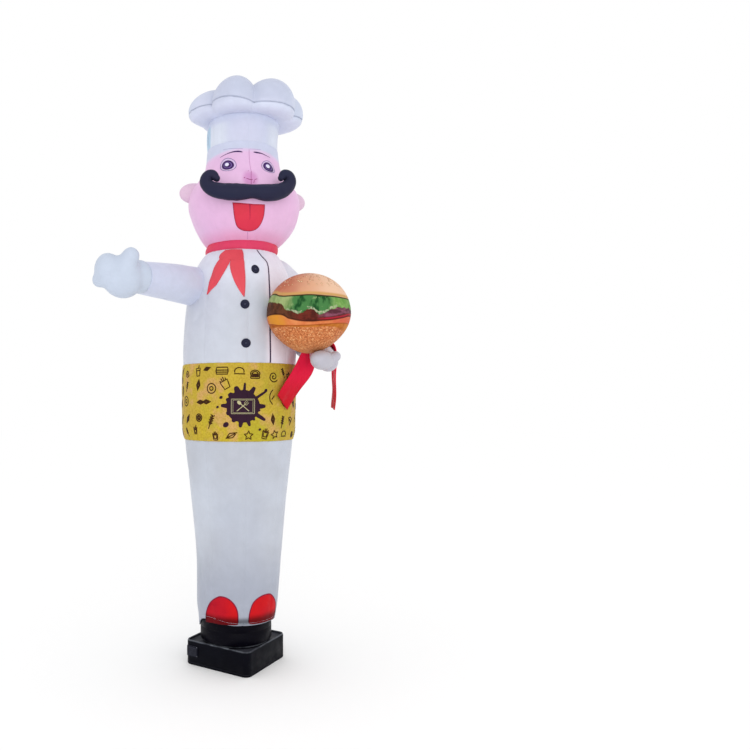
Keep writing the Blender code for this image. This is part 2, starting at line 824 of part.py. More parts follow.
def build():
    for thing in list(bpy.data.objects):
        bpy.data.objects.remove(thing)
    base_parts()
    trunk_parts()
    hat_puff()
    head_pieces()
    arms_and_hands()
    burger()
    napkin()
    scarf()
    buttons()


build()
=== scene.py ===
"""Looks of the inflatable air dancer: printed nylon chef blown up over a blower base.

Metres, +Z up, the figure faces -Y. An azimuth is an angle in degrees round the figure's
axis, from -Y towards +X. Sizes repeat those of the solids, so every piece lies on its own.
"""

import math

import bmesh
import bpy
import numpy as np
from mathutils import Matrix, Vector


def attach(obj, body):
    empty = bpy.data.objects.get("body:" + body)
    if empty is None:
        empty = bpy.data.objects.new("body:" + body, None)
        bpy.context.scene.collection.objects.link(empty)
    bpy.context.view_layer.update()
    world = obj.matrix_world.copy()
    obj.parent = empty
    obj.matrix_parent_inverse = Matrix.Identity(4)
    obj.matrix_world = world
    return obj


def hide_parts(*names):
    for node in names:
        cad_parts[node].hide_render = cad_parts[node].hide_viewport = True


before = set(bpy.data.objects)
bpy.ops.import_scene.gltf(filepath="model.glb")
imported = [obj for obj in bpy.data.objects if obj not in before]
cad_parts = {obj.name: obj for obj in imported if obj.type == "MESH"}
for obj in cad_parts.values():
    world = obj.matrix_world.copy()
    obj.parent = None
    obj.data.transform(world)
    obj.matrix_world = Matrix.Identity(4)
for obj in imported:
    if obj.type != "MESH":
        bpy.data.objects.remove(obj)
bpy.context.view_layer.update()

# ---------------------------------------------------------------- sizes of the solids
# The figure's axis: height, x, y
LEAN = (
    (0.00, 0.000, 0.000), (0.32, 0.006, 0.000), (0.62, 0.015, -0.008), (1.00, 0.013, -0.016),
    (1.55, 0.013, -0.030), (2.15, 0.020, -0.050), (2.43, 0.025, -0.061), (2.53, 0.040, -0.066),
    (2.70, 0.037, -0.072), (2.94, 0.028, -0.081), (3.12, 0.029, -0.087), (3.23, 0.046, -0.089),
    (3.38, 0.060, -0.090),
)
SEAMS = tuple(range(-180, 180, 45))  # azimuths of the trunk's upright seams
DRAWN_IN = 0.012  # share of its radius that cloth is drawn in at a seam
# The sewn sections of the trunk, upwards: height, radius
LEGS = (
    (0.206, 0.224), (0.285, 0.232), (0.330, 0.239), (0.460, 0.246), (0.620, 0.253),
    (0.840, 0.271), (1.080, 0.295), (1.270, 0.316), (1.325, 0.321),
)
APRON = (
    (1.325, 0.325), (1.360, 0.334), (1.460, 0.339), (1.600, 0.341), (1.720, 0.340),
    (1.760, 0.336),
)
JACKET = (
    (1.760, 0.334), (1.830, 0.336), (1.965, 0.332), (2.115, 0.320), (2.215, 0.303),
    (2.290, 0.281), (2.350, 0.251), (2.388, 0.226), (2.405, 0.212),
)
NECK_BAND = ((2.405, 0.208), (2.418, 0.214), (2.442, 0.214), (2.455, 0.209))
HEAD = (
    (2.455, 0.212), (2.500, 0.253), (2.550, 0.286), (2.615, 0.313), (2.685, 0.328),
    (2.745, 0.319), (2.800, 0.286), (2.850, 0.246), (2.895, 0.224), (2.940, 0.215),
    (3.005, 0.208),
)
HAT_BAND = ((3.005, 0.206), (3.085, 0.209), (3.160, 0.211))
# The legs' lowest edge: azimuth, height
HEM = (
    (-180, 0.225), (-130, 0.206), (-100, 0.206), (-70, 0.278), (-10, 0.272), (60, 0.266),
    (115, 0.245), (180, 0.225),
)
# The hat's puff over a lobe and between two: reach, height
PUFF_LOBE = (
    (0.211, 3.160), (0.266, 3.166), (0.316, 3.192), (0.340, 3.236), (0.334, 3.292),
    (0.302, 3.334), (0.245, 3.355), (0.175, 3.355), (0.095, 3.344), (0.0, 3.338),
)
PUFF_VALLEY = (
    (0.211, 3.160), (0.244, 3.174), (0.270, 3.196), (0.279, 3.224), (0.270, 3.274),
    (0.242, 3.300), (0.188, 3.316), (0.125, 3.324), (0.065, 3.329), (0.0, 3.338),
)
# How much the puff tips sideways and forwards, and the share at each row
PUFF_TIP = (-0.066, 0.13)
PUFF_TIPPED = (0.0, 0.5, 0.85, 1.0, 0.8, 0.4, 0.0, 0.0, 0.0, 0.0)
# One side lobe hangs lower: its azimuth, spread in degrees and drop, and the share at each row
PUFF_SAG = (-84.0, 27.0, 0.044)
PUFF_SAGGED = (0.0, 0.3, 0.75, 1.0, 1.0, 1.0, 0.8, 0.4, 0.0, 0.0)
PUFF_CREASE = 0.75
PUFF_SEAM = 3
PUFF_RADIUS, PUFF_ROW = 0.28, 0.05  # its middling radius, and cloth from row to row
PUFF_VALLEYS = (-180.0, -117.0, -51.0, 0.0, 63.5, 129.0, 180.0)  # azimuths between the lobes
# Azimuth and height
EARS = {"ear_left": (95.0, 2.738), "ear_right": (-95.0, 2.768)}
EAR_SIZE = (0.046, 0.088, 0.060)
EAR_REACH = 0.290
CHEEKS = 2.70
# Azimuth, reach, height, half thickness
MOUSTACHE = (
    (-31.0, 0.386, 2.752, 0.017), (-34.0, 0.392, 2.770, 0.025), (-37.6, 0.400, 2.762, 0.030),
    (-38.9, 0.404, 2.730, 0.033), (-34.5, 0.400, 2.696, 0.035), (-26.0, 0.388, 2.678, 0.039),
    (-14.0, 0.370, 2.674, 0.043), (-1.0, 0.361, 2.680, 0.037), (12.0, 0.363, 2.678, 0.043),
    (23.0, 0.370, 2.692, 0.039), (30.0, 0.376, 2.720, 0.035), (33.2, 0.378, 2.752, 0.032),
    (31.8, 0.376, 2.782, 0.029), (27.6, 0.372, 2.788, 0.024), (24.8, 0.368, 2.768, 0.016),
)
# Arms and thumbs: x, y, z, radius. Hands: x, y, z and three half sizes
RIGHT_ARM = (
    (-0.150, -0.010, 2.208, 0.119), (-0.283, -0.153, 2.207, 0.111),
    (-0.400, -0.292, 2.202, 0.102), (-0.500, -0.410, 2.196, 0.092),
    (-0.570, -0.493, 2.191, 0.084),
)
LEFT_ARM = (
    (0.150, -0.020, 2.290, 0.100), (0.235, -0.010, 2.285, 0.118), (0.330, 0.007, 2.190, 0.116),
    (0.380, 0.010, 2.070, 0.112), (0.400, -0.022, 1.950, 0.103), (0.438, -0.118, 1.862, 0.086),
    (0.465, -0.215, 1.815, 0.076), (0.471, -0.345, 1.773, 0.056),
)
RIGHT_HAND_WAY = (-0.90, -0.40, -0.06)
RIGHT_HAND = (
    (-0.575, -0.497, 2.193, 0.080, 0.080, 0.088), (-0.660, -0.562, 2.180, 0.112, 0.088, 0.110),
    (-0.730, -0.592, 2.204, 0.070, 0.076, 0.090), (-0.772, -0.575, 2.160, 0.040, 0.050, 0.040),
)
RIGHT_THUMB = ((-0.652, -0.595, 2.222, 0.058), (-0.617, -0.612, 2.278, 0.045))
LEFT_HAND_WAY = (-0.43, -0.90, 0.02)
LEFT_HAND = (
    (0.468, -0.362, 1.770, 0.062, 0.058, 0.058), (0.404, -0.472, 1.770, 0.134, 0.060, 0.053),
)
LEFT_THUMB = ((0.448, -0.430, 1.772, 0.036), (0.485, -0.450, 1.793, 0.031))
BURGER_MIDDLE = (0.336, -0.444, 2.025)
BURGER_RADIUS = 0.228
BURGER_FLAT = 0.95
BURGER_TAPER = 0.18
BURGER_SEAMS = tuple(range(-180, 180, 60))
# x, y, z and the azimuth that it faces
NAPKIN = (
    (0.555, -0.150, 1.508, 82.0), (0.556, -0.168, 1.615, 82.0), (0.554, -0.186, 1.720, 84.0),
    (0.549, -0.200, 1.812, 87.0), (0.525, -0.207, 1.876, 90.0), (0.465, -0.210, 1.900, 90.0),
    (0.412, -0.214, 1.878, 72.0), (0.394, -0.236, 1.815, 44.0), (0.358, -0.260, 1.738, 30.0),
    (0.291, -0.287, 1.640, 38.0), (0.216, -0.323, 1.540, 40.0),
)
NAPKIN_WIDTH = 0.136
NAPKIN_ROWS = 96
# Azimuth, height, half width
SCARF_TAILS = {
    "scarf_tail_right": (
        (-23.6, 2.368, 0.023), (-30.0, 2.315, 0.037), (-36.5, 2.235, 0.034),
        (-41.5, 2.180, 0.018), (-44.5, 2.143, 0.002),
    ),
    "scarf_tail_left": (
        (-10.0, 2.368, 0.023), (-12.2, 2.315, 0.040), (-9.8, 2.235, 0.035), (-7.0, 2.170, 0.020),
        (-4.6, 2.122, 0.002),
    ),
}
# Azimuth and height
BUTTONS = ((8.4, 2.280), (-3.7, 2.081), (-2.2, 1.867))
BUTTON_RADIUS = 0.025
JACKET_RADIUS = 0.32  # at the buttons
STITCH = 0.0045  # half the width and height of a button's crossed thread
BASE_SIZE = (0.440, 0.430)
BASE_HEIGHT = 0.142
BASE_TURN = 49.0
BASE_CORNER = 0.040
RIM_WIDTH = 0.010
RIM_DEPTH = 0.012
VENT_SIZE = (0.074, 0.060)
VENT_FROM_CORNER = 0.056
VENT_MIDDLE = 0.082
RIBS = 8


# ---------------------------------------------------------------- camera, light, floor
CAMERA_PLACE = (-0.5845, -4.159, 1.555)
CAMERA_TURN = -8  # degrees
LENS, SENSOR = 33.6, 36  # millimetres
PICTURE = 750  # pixels a side
KEY_LIGHT = 60.0  # watts


def added(name, data):
    """A new object of its data, in the scene."""
    thing = bpy.data.objects.new(name, data)
    bpy.context.scene.collection.objects.link(thing)
    return thing


def solid_of(name, bm, material=None):
    """A new object of a bmesh, which is freed."""
    mesh = bpy.data.meshes.new(name)
    bm.to_mesh(mesh)
    bm.free()
    if material:
        mesh.materials.append(material)
    return added(name, mesh)


def stage_and_camera():
    scene = bpy.context.scene
    scene.camera = camera = added("camera", bpy.data.cameras.new("camera"))
    camera.location = CAMERA_PLACE
    camera.rotation_euler = (math.radians(90), 0, math.radians(CAMERA_TURN))
    camera.data.lens, camera.data.sensor_width = LENS, SENSOR
    camera.data.shift_x = (PICTURE / 2 - 236) / PICTURE
    camera.data.shift_y = 25 / PICTURE
    scene.view_settings.view_transform = "Standard"

    pale = bpy.data.materials.new("floor")
    pale.use_nodes = True
    shader = pale.node_tree.nodes["Principled BSDF"]
    shader.inputs["Base Color"].default_value = (1, 1, 1, 1)
    shader.inputs["Roughness"].default_value = 0.9
    shader.inputs["Specular IOR Level"].default_value = 0.0
    bm = bmesh.new()
    bmesh.ops.create_circle(bm, cap_ends=True, segments=64, radius=30)
    floor = solid_of("floor", bm, pale)

    world = scene.world = bpy.data.worlds.new("studio")
    world.use_nodes = True
    sky = world.node_tree.nodes["Background"]
    sky.inputs["Color"].default_value = (1, 1, 1, 1)
    sky.inputs["Strength"].default_value = 1.0

    light = bpy.data.lights.new("key", "AREA")
    light.size, light.energy, light.color = 4.0, KEY_LIGHT, (1.0, 0.99, 0.98)
    lamp = added("key", light)
    lamp.location = (-0.3, -5.8, 2.0)
    way = Vector((0, 0, 1.7)) - lamp.location
    lamp.rotation_euler = way.to_track_quat("-Z", "Y").to_euler()


# ---------------------------------------------------------------- curves and surfaces
def curve(rows):
    """Reads a smooth curve through the rows of a table at values of its first column."""
    table = np.array(rows, float)
    key, values = table[:, 0], table[:, 1:]
    slope = np.gradient(values, key, axis=0)

    def read(at):
        at = np.asarray(at, float)
        i = np.clip(np.searchsorted(key, at, side="right") - 1, 0, len(key) - 2)
        span = (key[i + 1] - key[i])[..., None]
        t = np.clip((at[..., None] - key[i][..., None]) / span, 0, 1)
        a = (1 + 2 * t) * (1 - t) ** 2 * values[i] + t * (1 - t) ** 2 * span * slope[i]
        b = t * t * (3 - 2 * t) * values[i + 1] + t * t * (t - 1) * span * slope[i + 1]
        return a + b

    return read


def numbered(rows):
    """Reads a smooth curve that meets each row at its number, from 0."""
    return curve([(i, *row) for i, row in enumerate(rows)])


def along(rows, steps):
    """That many points along a smooth curve through a few."""
    return numbered(rows)(np.linspace(0, len(rows) - 1, steps))


def outwards(azimuth):
    a = math.radians(azimuth)
    return Vector((math.sin(a), -math.cos(a), 0.0))


def ring_at(turns, reach, z, middle=(0.0, 0.0)):
    """Points round an upright axis: turns in radians, reach from it, height."""
    x, y = middle[0] + np.sin(turns) * reach, middle[1] - np.cos(turns) * reach
    return np.stack(np.broadcast_arrays(x, y, z), axis=-1)


def girth(grid, radius):
    """Metres of cloth round the figure at each azimuth, closed."""
    return np.radians(np.append(grid, grid[0] + 360)) * radius


def unit(ways):
    return ways / np.linalg.norm(ways, axis=1, keepdims=True)


def beside(points, i):
    """The points before and after one of a line."""
    return points[max(i - 1, 0)], points[min(i + 1, len(points) - 1)]


lean = curve(LEAN)
hem = curve(HEM)


def waves(azimuth, cycles, seed):
    """Uneven ripples round the figure, about -1 to 1, the same on every run."""
    a = np.radians(azimuth)
    total = np.zeros_like(a)
    for k, share in ((1.0, 0.5), (1.37, 0.32), (0.61, 0.28), (1.83, 0.2)):
        n = max(1, round(cycles * k))
        total += share * np.sin(n * a + seed * (1.7 + n * 0.37) + 0.5 * np.sin(3 * a + seed))
    return total


def near(azimuth, middle):
    """Degrees from a middle azimuth, the short way round."""
    return (azimuth - middle + 180) % 360 - 180


def ridge(distance, width):
    return np.exp(-((distance / width) ** 2))


def creases(azimuth, z, radius, table):
    """Soft troughs (or ridges, where the depth is below 0), each along its own short line.

    Rows: azimuth and height of one end, of the other end, half width, depth.
    """
    total = np.zeros_like(z)
    for a0, z0, a1, z1, width, depth in table:
        x = np.radians(near(azimuth, a0)) * radius
        y = z - z0
        ex = math.radians(near(a1, a0)) * float(np.mean(radius))
        ey = z1 - z0
        length = math.hypot(ex, ey)
        t = (x * ex + y * ey) / length**2
        inside = np.clip(t, 0, 1)
        away = np.hypot(x - inside * ex, y - inside * ey)
        fade = np.clip(1 - np.abs(2 * inside - 1) ** 3, 0, 1)
        total += depth * ridge(away, width) * fade
    return total


class Section:
    """One sewn section of the trunk: its table, its puckers and creases.

    A pucker is a height, how deep, how far up and down it reaches, and its ripples round.
    """

    def __init__(self, rows, seed, puckers, folds=(), soft=0.0022):
        self.profile = curve(rows)
        self.low, self.high = rows[0][0], rows[-1][0]
        self.puckers, self.folds = puckers, folds
        self.seed, self.soft = seed, soft

    def hollow(self, azimuth):
        """The share of its radius that the cloth is drawn in at its upright seams."""
        crease = np.abs(np.sin(np.radians(azimuth * len(SEAMS) / 2))) ** 0.8
        return DRAWN_IN * (1 - crease)

    def relief(self, azimuth, z, radius):
        out = self.soft * waves(azimuth + 22 * np.sin(z * 2.3 + self.seed), 5, self.seed)
        share = np.clip((z - self.low) / (self.high - self.low), 0, 1)
        out = out * np.sin(share * np.pi) ** 0.5
        out -= radius * self.hollow(azimuth)
        for seam in SEAMS:
            away = np.radians(near(azimuth, seam)) * radius
            gather = 1 + 0.45 * np.sin(z * 2 * np.pi / 0.034 + seam + 1.3 * np.sin(z * 31))
            out -= 0.0009 * ridge(away, 0.0035)
            out -= 0.0006 * ridge(away, 0.020) * gather
        for z0, depth, reach, cycles in self.puckers:
            share = np.exp(-np.abs(z - z0) / reach)
            uneven = 0.6 + 0.4 * waves(azimuth, 4, self.seed + z0)
            out += depth * share * uneven * waves(azimuth, cycles, self.seed + 3 * z0)
            out -= 0.45 * depth * ridge(z - z0, 0.007)
        return out - creases(azimuth, z, radius, self.folds)

    def place(self, azimuth, z, proud=0.0):
        azimuth, z = np.broadcast_arrays(np.asarray(azimuth, float), np.asarray(z, float))
        z = np.array(z)
        radius = self.profile(np.clip(z, self.low, self.high))[..., 0]
        radius = radius + self.relief(azimuth, np.clip(z, self.low, self.high), radius) + proud
        return ring_at(np.radians(azimuth), radius, z, np.moveaxis(lean(z), -1, 0))


def around(seams, step=2.4):
    """Azimuths round the figure, closer together at the seams."""
    grid = list(np.arange(-180, 180, step))
    close = (-1.5, -0.7, 0.0, 0.7, 1.5)
    grid = [a for a in grid if all(abs(near(a, s)) > 2.1 for s in seams)]
    grid += [near(s + c, 0) for s in seams for c in close]
    return np.array(sorted(grid))


def up(low, high, step=0.009):
    """Heights up a section, closer together at its two ends."""
    ends = np.array([0.0, 0.0015, 0.004, 0.008])
    count = max(3, round((high - low - 0.03) / step))
    middle = np.linspace(low + 0.015, high - 0.015, count)
    return np.concatenate([low + ends, middle, high - ends[::-1]])


# ---------------------------------------------------------------- meshes
def new_object(name, verts, faces, material, uvs=None):
    """An object of plain lists; uvs holds one (u, v) for each corner of each face."""
    mesh = bpy.data.meshes.new(name)
    mesh.from_pydata([tuple(v) for v in verts], [], faces)
    if uvs is not None:
        layer = mesh.uv_layers.new(name="cloth")
        layer.data.foreach_set("uv", np.asarray(uvs, np.float32).ravel())
    mesh.materials.append(MATERIALS[material])
    mesh.shade_smooth()
    return added(name, mesh)


def ride(thing, slot, *nodes):
    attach(thing, "root")
    if nodes:
        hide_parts(*nodes)


def rings_mesh(name, rings, material, us=None, vs=None, poles=(None, None)):
    """A closed mesh through a (rows, columns, 3) array of rings, capped by fans.

    A pole is the fan's middle point, and the ring's own middle where it is None.
    """
    rings = np.asarray(rings, float)
    rows, cols = rings.shape[:2]
    verts = rings.reshape(-1, 3)
    j = np.arange(cols)
    k = (j + 1) % cols
    faces, uvs = [], []
    us = np.linspace(0, 1, cols + 1) if us is None else us
    vs = np.linspace(0, 1, rows) if vs is None else vs
    for i in range(rows - 1):
        low, high = i * cols, (i + 1) * cols
        quads = np.stack([low + j, low + k, high + k, high + j], axis=1)
        faces += quads.tolist()
        u0, u1 = us[:-1], us[1:]
        v0, v1 = np.full(cols, vs[i]), np.full(cols, vs[i + 1])
        corner = np.stack([u0, v0, u1, v0, u1, v1, u0, v1], axis=1)
        uvs.append(corner.reshape(-1, 2))
    extra = []
    for end, row in ((0, 0), (1, rows - 1)):
        middle = len(verts) + len(extra)
        extra.append(rings[row].mean(axis=0) if poles[end] is None else poles[end])
        base = row * cols
        if end == 0:
            fan = np.stack([base + k, base + j, np.full(cols, middle)], axis=1)
        else:
            fan = np.stack([base + j, base + k, np.full(cols, middle)], axis=1)
        faces += fan.tolist()
        u0, u1 = us[:-1], us[1:]
        v = np.full(cols, vs[row])
        first, second = (u1, u0) if end == 0 else (u0, u1)
        corner = np.stack([first, v, second, v, (u0 + u1) / 2, v], axis=1)
        uvs.append(corner.reshape(-1, 2))
    verts = np.concatenate([verts, np.array(extra)])
    return new_object(name, verts, faces, material, np.concatenate(uvs))


def patch(name, outline, middle, place, material, proud=0.0009, under=0.0012, rings=6):
    """A printed or sewn shape on a surface: a thin closed skin, star-shaped about middle."""
    outline = np.array(outline, float)
    middle = np.array(middle, float)
    spots = [middle + (outline - middle) * (k / rings) for k in range(1, rings + 1)]
    top = [place(s[:, 0], s[:, 1], proud) for s in spots]
    low = [place(s[:, 0], s[:, 1], -under) for s in spots]
    stack = np.array(low + top[::-1])
    poles = [place(*middle, lift) for lift in (-under, proud)]
    return rings_mesh(name, stack, material, poles=poles)


def smooth_loop(points, count):
    """That many points round a smooth closed loop through a few."""
    rounds = np.linspace(1, 1 + len(points), count, endpoint=False)
    return numbered([*points, *points[:3]])(rounds)


def ribbons(name, lines, place, material, proud=0.0007, under=0.0010):
    """Thin printed lines on a surface, one mesh.

    Each line is (points as azimuth and height, half width, radius used for its width).
    """
    verts, faces = [], []
    for points, half, radius in lines:
        flat = np.array(points, float)
        metres = np.stack([np.radians(flat[:, 0]) * radius, flat[:, 1]], axis=1)
        closed = np.allclose(metres[0], metres[-1])
        way = np.gradient(metres, axis=0)
        if closed:
            way[0] = way[-1] = metres[1] - metres[-2]
        way /= np.maximum(np.linalg.norm(way, axis=1, keepdims=True), 1e-9)
        side = np.stack([-way[:, 1], way[:, 0]], axis=1)
        widths = np.full(len(flat), half) if np.isscalar(half) else np.asarray(half)
        edges = []
        for sign, lift in ((-1, -under), (-1, proud), (1, proud), (1, -under)):
            spot = metres + side * widths[:, None] * sign
            azimuth = np.degrees(spot[:, 0] / radius)
            edges.append(place(azimuth, spot[:, 1], lift))
        start = len(verts)
        last = len(flat) - 1
        verts += [spot for four in zip(*edges) for spot in four]
        for i in range(last):
            a, b = start + 4 * i, start + 4 * (i + 1)
            if closed and i == last - 1:
                b = start
            for k in range(4):
                m = (k + 1) % 4
                faces.append((a + m, a + k, b + k, b + m))
        if not closed:
            end = start + 4 * last
            faces.append((start, start + 1, start + 2, start + 3))
            faces.append((end + 3, end + 2, end + 1, end))
    return new_object(name, verts, faces, material)


def tube(rows, steps, count, relief=None, ends=(0, 0)):
    """Rings along (x, y, z, radius) rows; ends tells how many rounding rings each end gets."""
    points = along(rows, steps)
    middles, radii = points[:, :3], points[:, 3]
    ways = unit(np.gradient(middles, axis=0))
    across = Vector(ways[0]).orthogonal().normalized()
    turns = np.linspace(0, 2 * np.pi, count, endpoint=False)
    rings, lengths, length = [], [], 0.0
    frames = []
    for i in range(steps):
        way = Vector(ways[i])
        across = (across - way * across.dot(way)).normalized()
        frames.append((Vector(middles[i]), way, across.copy(), way.cross(across)))
        if i:
            length += float(np.linalg.norm(middles[i] - middles[i - 1]))
        lengths.append(length)

    def ring(frame_, radius, turn_relief):
        middle, _, one, two = frame_
        r = radius + turn_relief
        c, s = np.cos(turns) * r, np.sin(turns) * r
        return np.array(middle) + np.outer(c, np.array(one)) + np.outer(s, np.array(two))

    for i in range(steps):
        extra = relief(turns, lengths[i]) if relief else 0.0
        rings.append(ring(frames[i], radii[i], extra))
    for end, rounds in ((0, ends[0]), (-1, ends[1])):
        sign = -1 if end == 0 else 1
        middle, way, one, two = frames[end]
        for k in range(1, rounds + 1):
            angle = math.pi / 2 * k / (rounds + 0.35)
            spot = middle + way * sign * radii[end] * math.sin(angle)
            new = ring((spot, way, one, two), radii[end] * math.cos(angle), 0.0)
            if end == 0:
                rings.insert(0, new)
            else:
                rings.append(new)
    return np.array(rings)


def hand_mesh(name, lumps, thumb, way, voxel, rounds):
    """A mitten of lumps and a thumb, run together by the air in them."""
    turned = Vector(way).normalized().to_track_quat("X", "Z")
    bm = bmesh.new()
    for x, y, z, *halves in lumps:
        place = Matrix.LocRotScale(Vector((x, y, z)), turned, halves)
        bmesh.ops.create_uvsphere(bm, u_segments=40, v_segments=24, radius=1.0, matrix=place)
    hand = solid_of(name, bm)
    finger = rings_mesh(name + "_thumb", tube(thumb, 8, 24, ends=(6, 6)), "white")
    with bpy.context.temp_override(
        active_object=hand, object=hand, selected_editable_objects=[hand, finger]
    ):
        bpy.ops.object.join()
    for kind, settings in (
        ("REMESH", {"mode": "VOXEL", "voxel_size": voxel}),
        ("SMOOTH", {"factor": 0.5, "iterations": rounds}),
    ):
        modifier = hand.modifiers.new(kind.lower(), kind)
        for key, value in settings.items():
            setattr(modifier, key, value)
    apply_all(hand)
    return hand


def apply_all(thing):
    graph = bpy.context.evaluated_depsgraph_get()
    mesh = bpy.data.meshes.new_from_object(thing.evaluated_get(graph))
    thing.modifiers.clear()
    thing.data = mesh
    mesh.shade_smooth()


def points_of(thing):
    flat = np.empty(len(thing.data.vertices) * 3, np.float32)
    thing.data.vertices.foreach_get("co", flat)
    return flat.reshape(-1, 3).astype(float)


def move_points(thing, points):
    thing.data.vertices.foreach_set("co", points.astype(np.float32).ravel())
    thing.data.update()


# ---------------------------------------------------------------- materials
def linear(colour):
    """Linear RGBA of an sRGB colour given from 0 to 255."""
    return (*(((c / 255 + 0.055) / 1.055) ** 2.4 if c > 10 else c / 3295 for c in colour), 1)


class Wire:
    """A value in a material's nodes: arithmetic on it adds the nodes that do it."""

    def __init__(self, nodes, socket):
        self.nodes, self.socket = nodes, socket

    def __add__(self, other):
        return self.nodes.math("ADD", self, other)

    def __sub__(self, other):
        return self.nodes.math("SUBTRACT", self, other)

    def __mul__(self, other):
        return self.nodes.math("MULTIPLY", self, other)

    def __truediv__(self, other):
        return self.nodes.math("DIVIDE", self, other)

    def __abs__(self):
        return self.nodes.math("ABSOLUTE", self)

    def spread(self, low, high, to_low=0.0, to_high=1.0):
        """Goes smoothly from to_low to to_high while this goes from low to high."""
        limits = {0: self, 1: low, 2: high, 3: to_low, 4: to_high}
        return self.nodes.new("ShaderNodeMapRange", limits, interpolation_type="SMOOTHSTEP")


class Nodes:
    """A new material and a small hand for writing its nodes."""

    def __init__(self, name):
        self.material = bpy.data.materials.new(name)
        self.material.use_nodes = True
        self.tree = self.material.node_tree
        self.shader = self.tree.nodes["Principled BSDF"]
        self.where = self.new("ShaderNodeTexCoord", output="Object")
        self.xyz = self.split(self.where)

    def make(self, kind, inputs, **settings):
        node = self.tree.nodes.new(kind)
        for key, value in settings.items():
            setattr(node, key, value)
        for key, value in inputs.items():
            self.put(node.inputs[key], value)
        return node

    def new(self, kind, inputs={}, output=0, **settings):
        return Wire(self, self.make(kind, inputs, **settings).outputs[output])

    def put(self, socket, value):
        if isinstance(value, Wire):
            self.tree.links.new(value.socket, socket)
        else:
            socket.default_value = value

    def set(self, **inputs):
        for key, value in inputs.items():
            self.put(self.shader.inputs[key.replace("_", " ")], value)

    def math(self, operation, first, second=0.0):
        return self.new("ShaderNodeMath", {0: first, 1: second}, operation=operation)

    def mix(self, share, first, second, blend="MIX"):
        """Colours are wires, or sRGB from 0 to 255."""
        first, second = (linear(c) if isinstance(c, tuple) else c for c in (first, second))
        inputs = {0: share, 6: first, 7: second}
        return self.new("ShaderNodeMix", inputs, 2, data_type="RGBA", blend_type=blend)

    def layered(self, base, *layers):
        """A colour with others laid over it, each (share, colour)."""
        for share, colour in layers:
            base = self.mix(share, base, colour)
        return base

    def noise(self, scale, detail=3.0, rough=0.5, stretch=None):
        where = self.stretched(stretch) if stretch else self.where
        inputs = {"Vector": where, "Scale": scale, "Detail": detail, "Roughness": rough}
        return self.new("ShaderNodeTexNoise", inputs, "Fac")

    def stretched(self, stretch):
        return self.new("ShaderNodeMapping", {0: self.where, 3: stretch})

    def split(self, where):
        node = self.make("ShaderNodeSeparateXYZ", {0: where})
        return [Wire(self, output) for output in node.outputs]

    def facing_up(self):
        return self.split(self.new("ShaderNodeNewGeometry", output="Normal"))[2]

    def bump(self, height, strength, distance, before=None):
        inputs = {"Height": height, "Strength": strength, "Distance": distance}
        if before is not None:
            inputs["Normal"] = before
        return self.new("ShaderNodeBump", inputs)


def ripstop(nodes, uv, pitch=0.0055, width=0.00042):
    """The doubled threads of ripstop nylon: 1 on a square grid of thin lines, else 0."""
    if uv:
        u, v, _ = nodes.split(nodes.new("ShaderNodeTexCoord", output="UV"))
    else:
        u, _, v = nodes.xyz
    lines = [
        nodes.math("PINGPONG", axis, pitch / 2).spread(width * 0.5, width, 1.0, 0.0)
        for axis in (u, v)
    ]
    return nodes.math("MAXIMUM", *lines)


def cloth(
    name, colour, other, uv=True, rough=0.48, sheen=0.12, gloss=0.14, tint=None, shade=None
):
    """Coated ripstop nylon held out by air, blotched a little by the light inside it.

    tint(nodes, colour) and shade(nodes) may change the colour and its lightness further.
    """
    nodes = Nodes(name)
    base = nodes.mix(nodes.noise(2.1, 2.0).spread(0.36, 0.66), colour, other)
    if tint:
        base = tint(nodes, base)
    grid = ripstop(nodes, uv)
    light = nodes.noise(17.0, 4.0, 0.6).spread(0.3, 0.75, 0.965, 1.02)
    light = light * grid.spread(0, 1, 1.0, 0.955)
    if shade:
        light = light * shade(nodes)
    grey = nodes.new("ShaderNodeCombineColor", {0: light, 1: light, 2: light})
    base = nodes.mix(1.0, base, grey, "MULTIPLY")
    creased = nodes.noise(7.5, 5.0, 0.62, stretch=(1.0, 1.0, 0.45))
    puckered = nodes.noise(46.0, 3.0, 0.55, stretch=(1.0, 1.0, 0.35))
    normal = nodes.bump(puckered, 0.16, 0.0016, nodes.bump(creased, 0.35, 0.006))
    normal = nodes.bump(grid * 0.6 + nodes.noise(1500.0, 2.0) * 0.4, 0.25, 0.00016, normal)
    patchy = nodes.noise(60.0, 3.0).spread(0.3, 0.7, rough - 0.05, rough + 0.06)
    nodes.set(Base_Color=base, Roughness=patchy, Normal=normal)
    nodes.set(Specular_IOR_Level=gloss, Sheen_Weight=sheen, Sheen_Roughness=0.45)
    return nodes.material


def printed(name, colour, other, shade=None):
    """Dye printed into the cloth: its own colour, and the cloth's weave."""
    return cloth(name, colour, other, uv=False, rough=0.46, sheen=0.01, gloss=0.06, shade=shade)


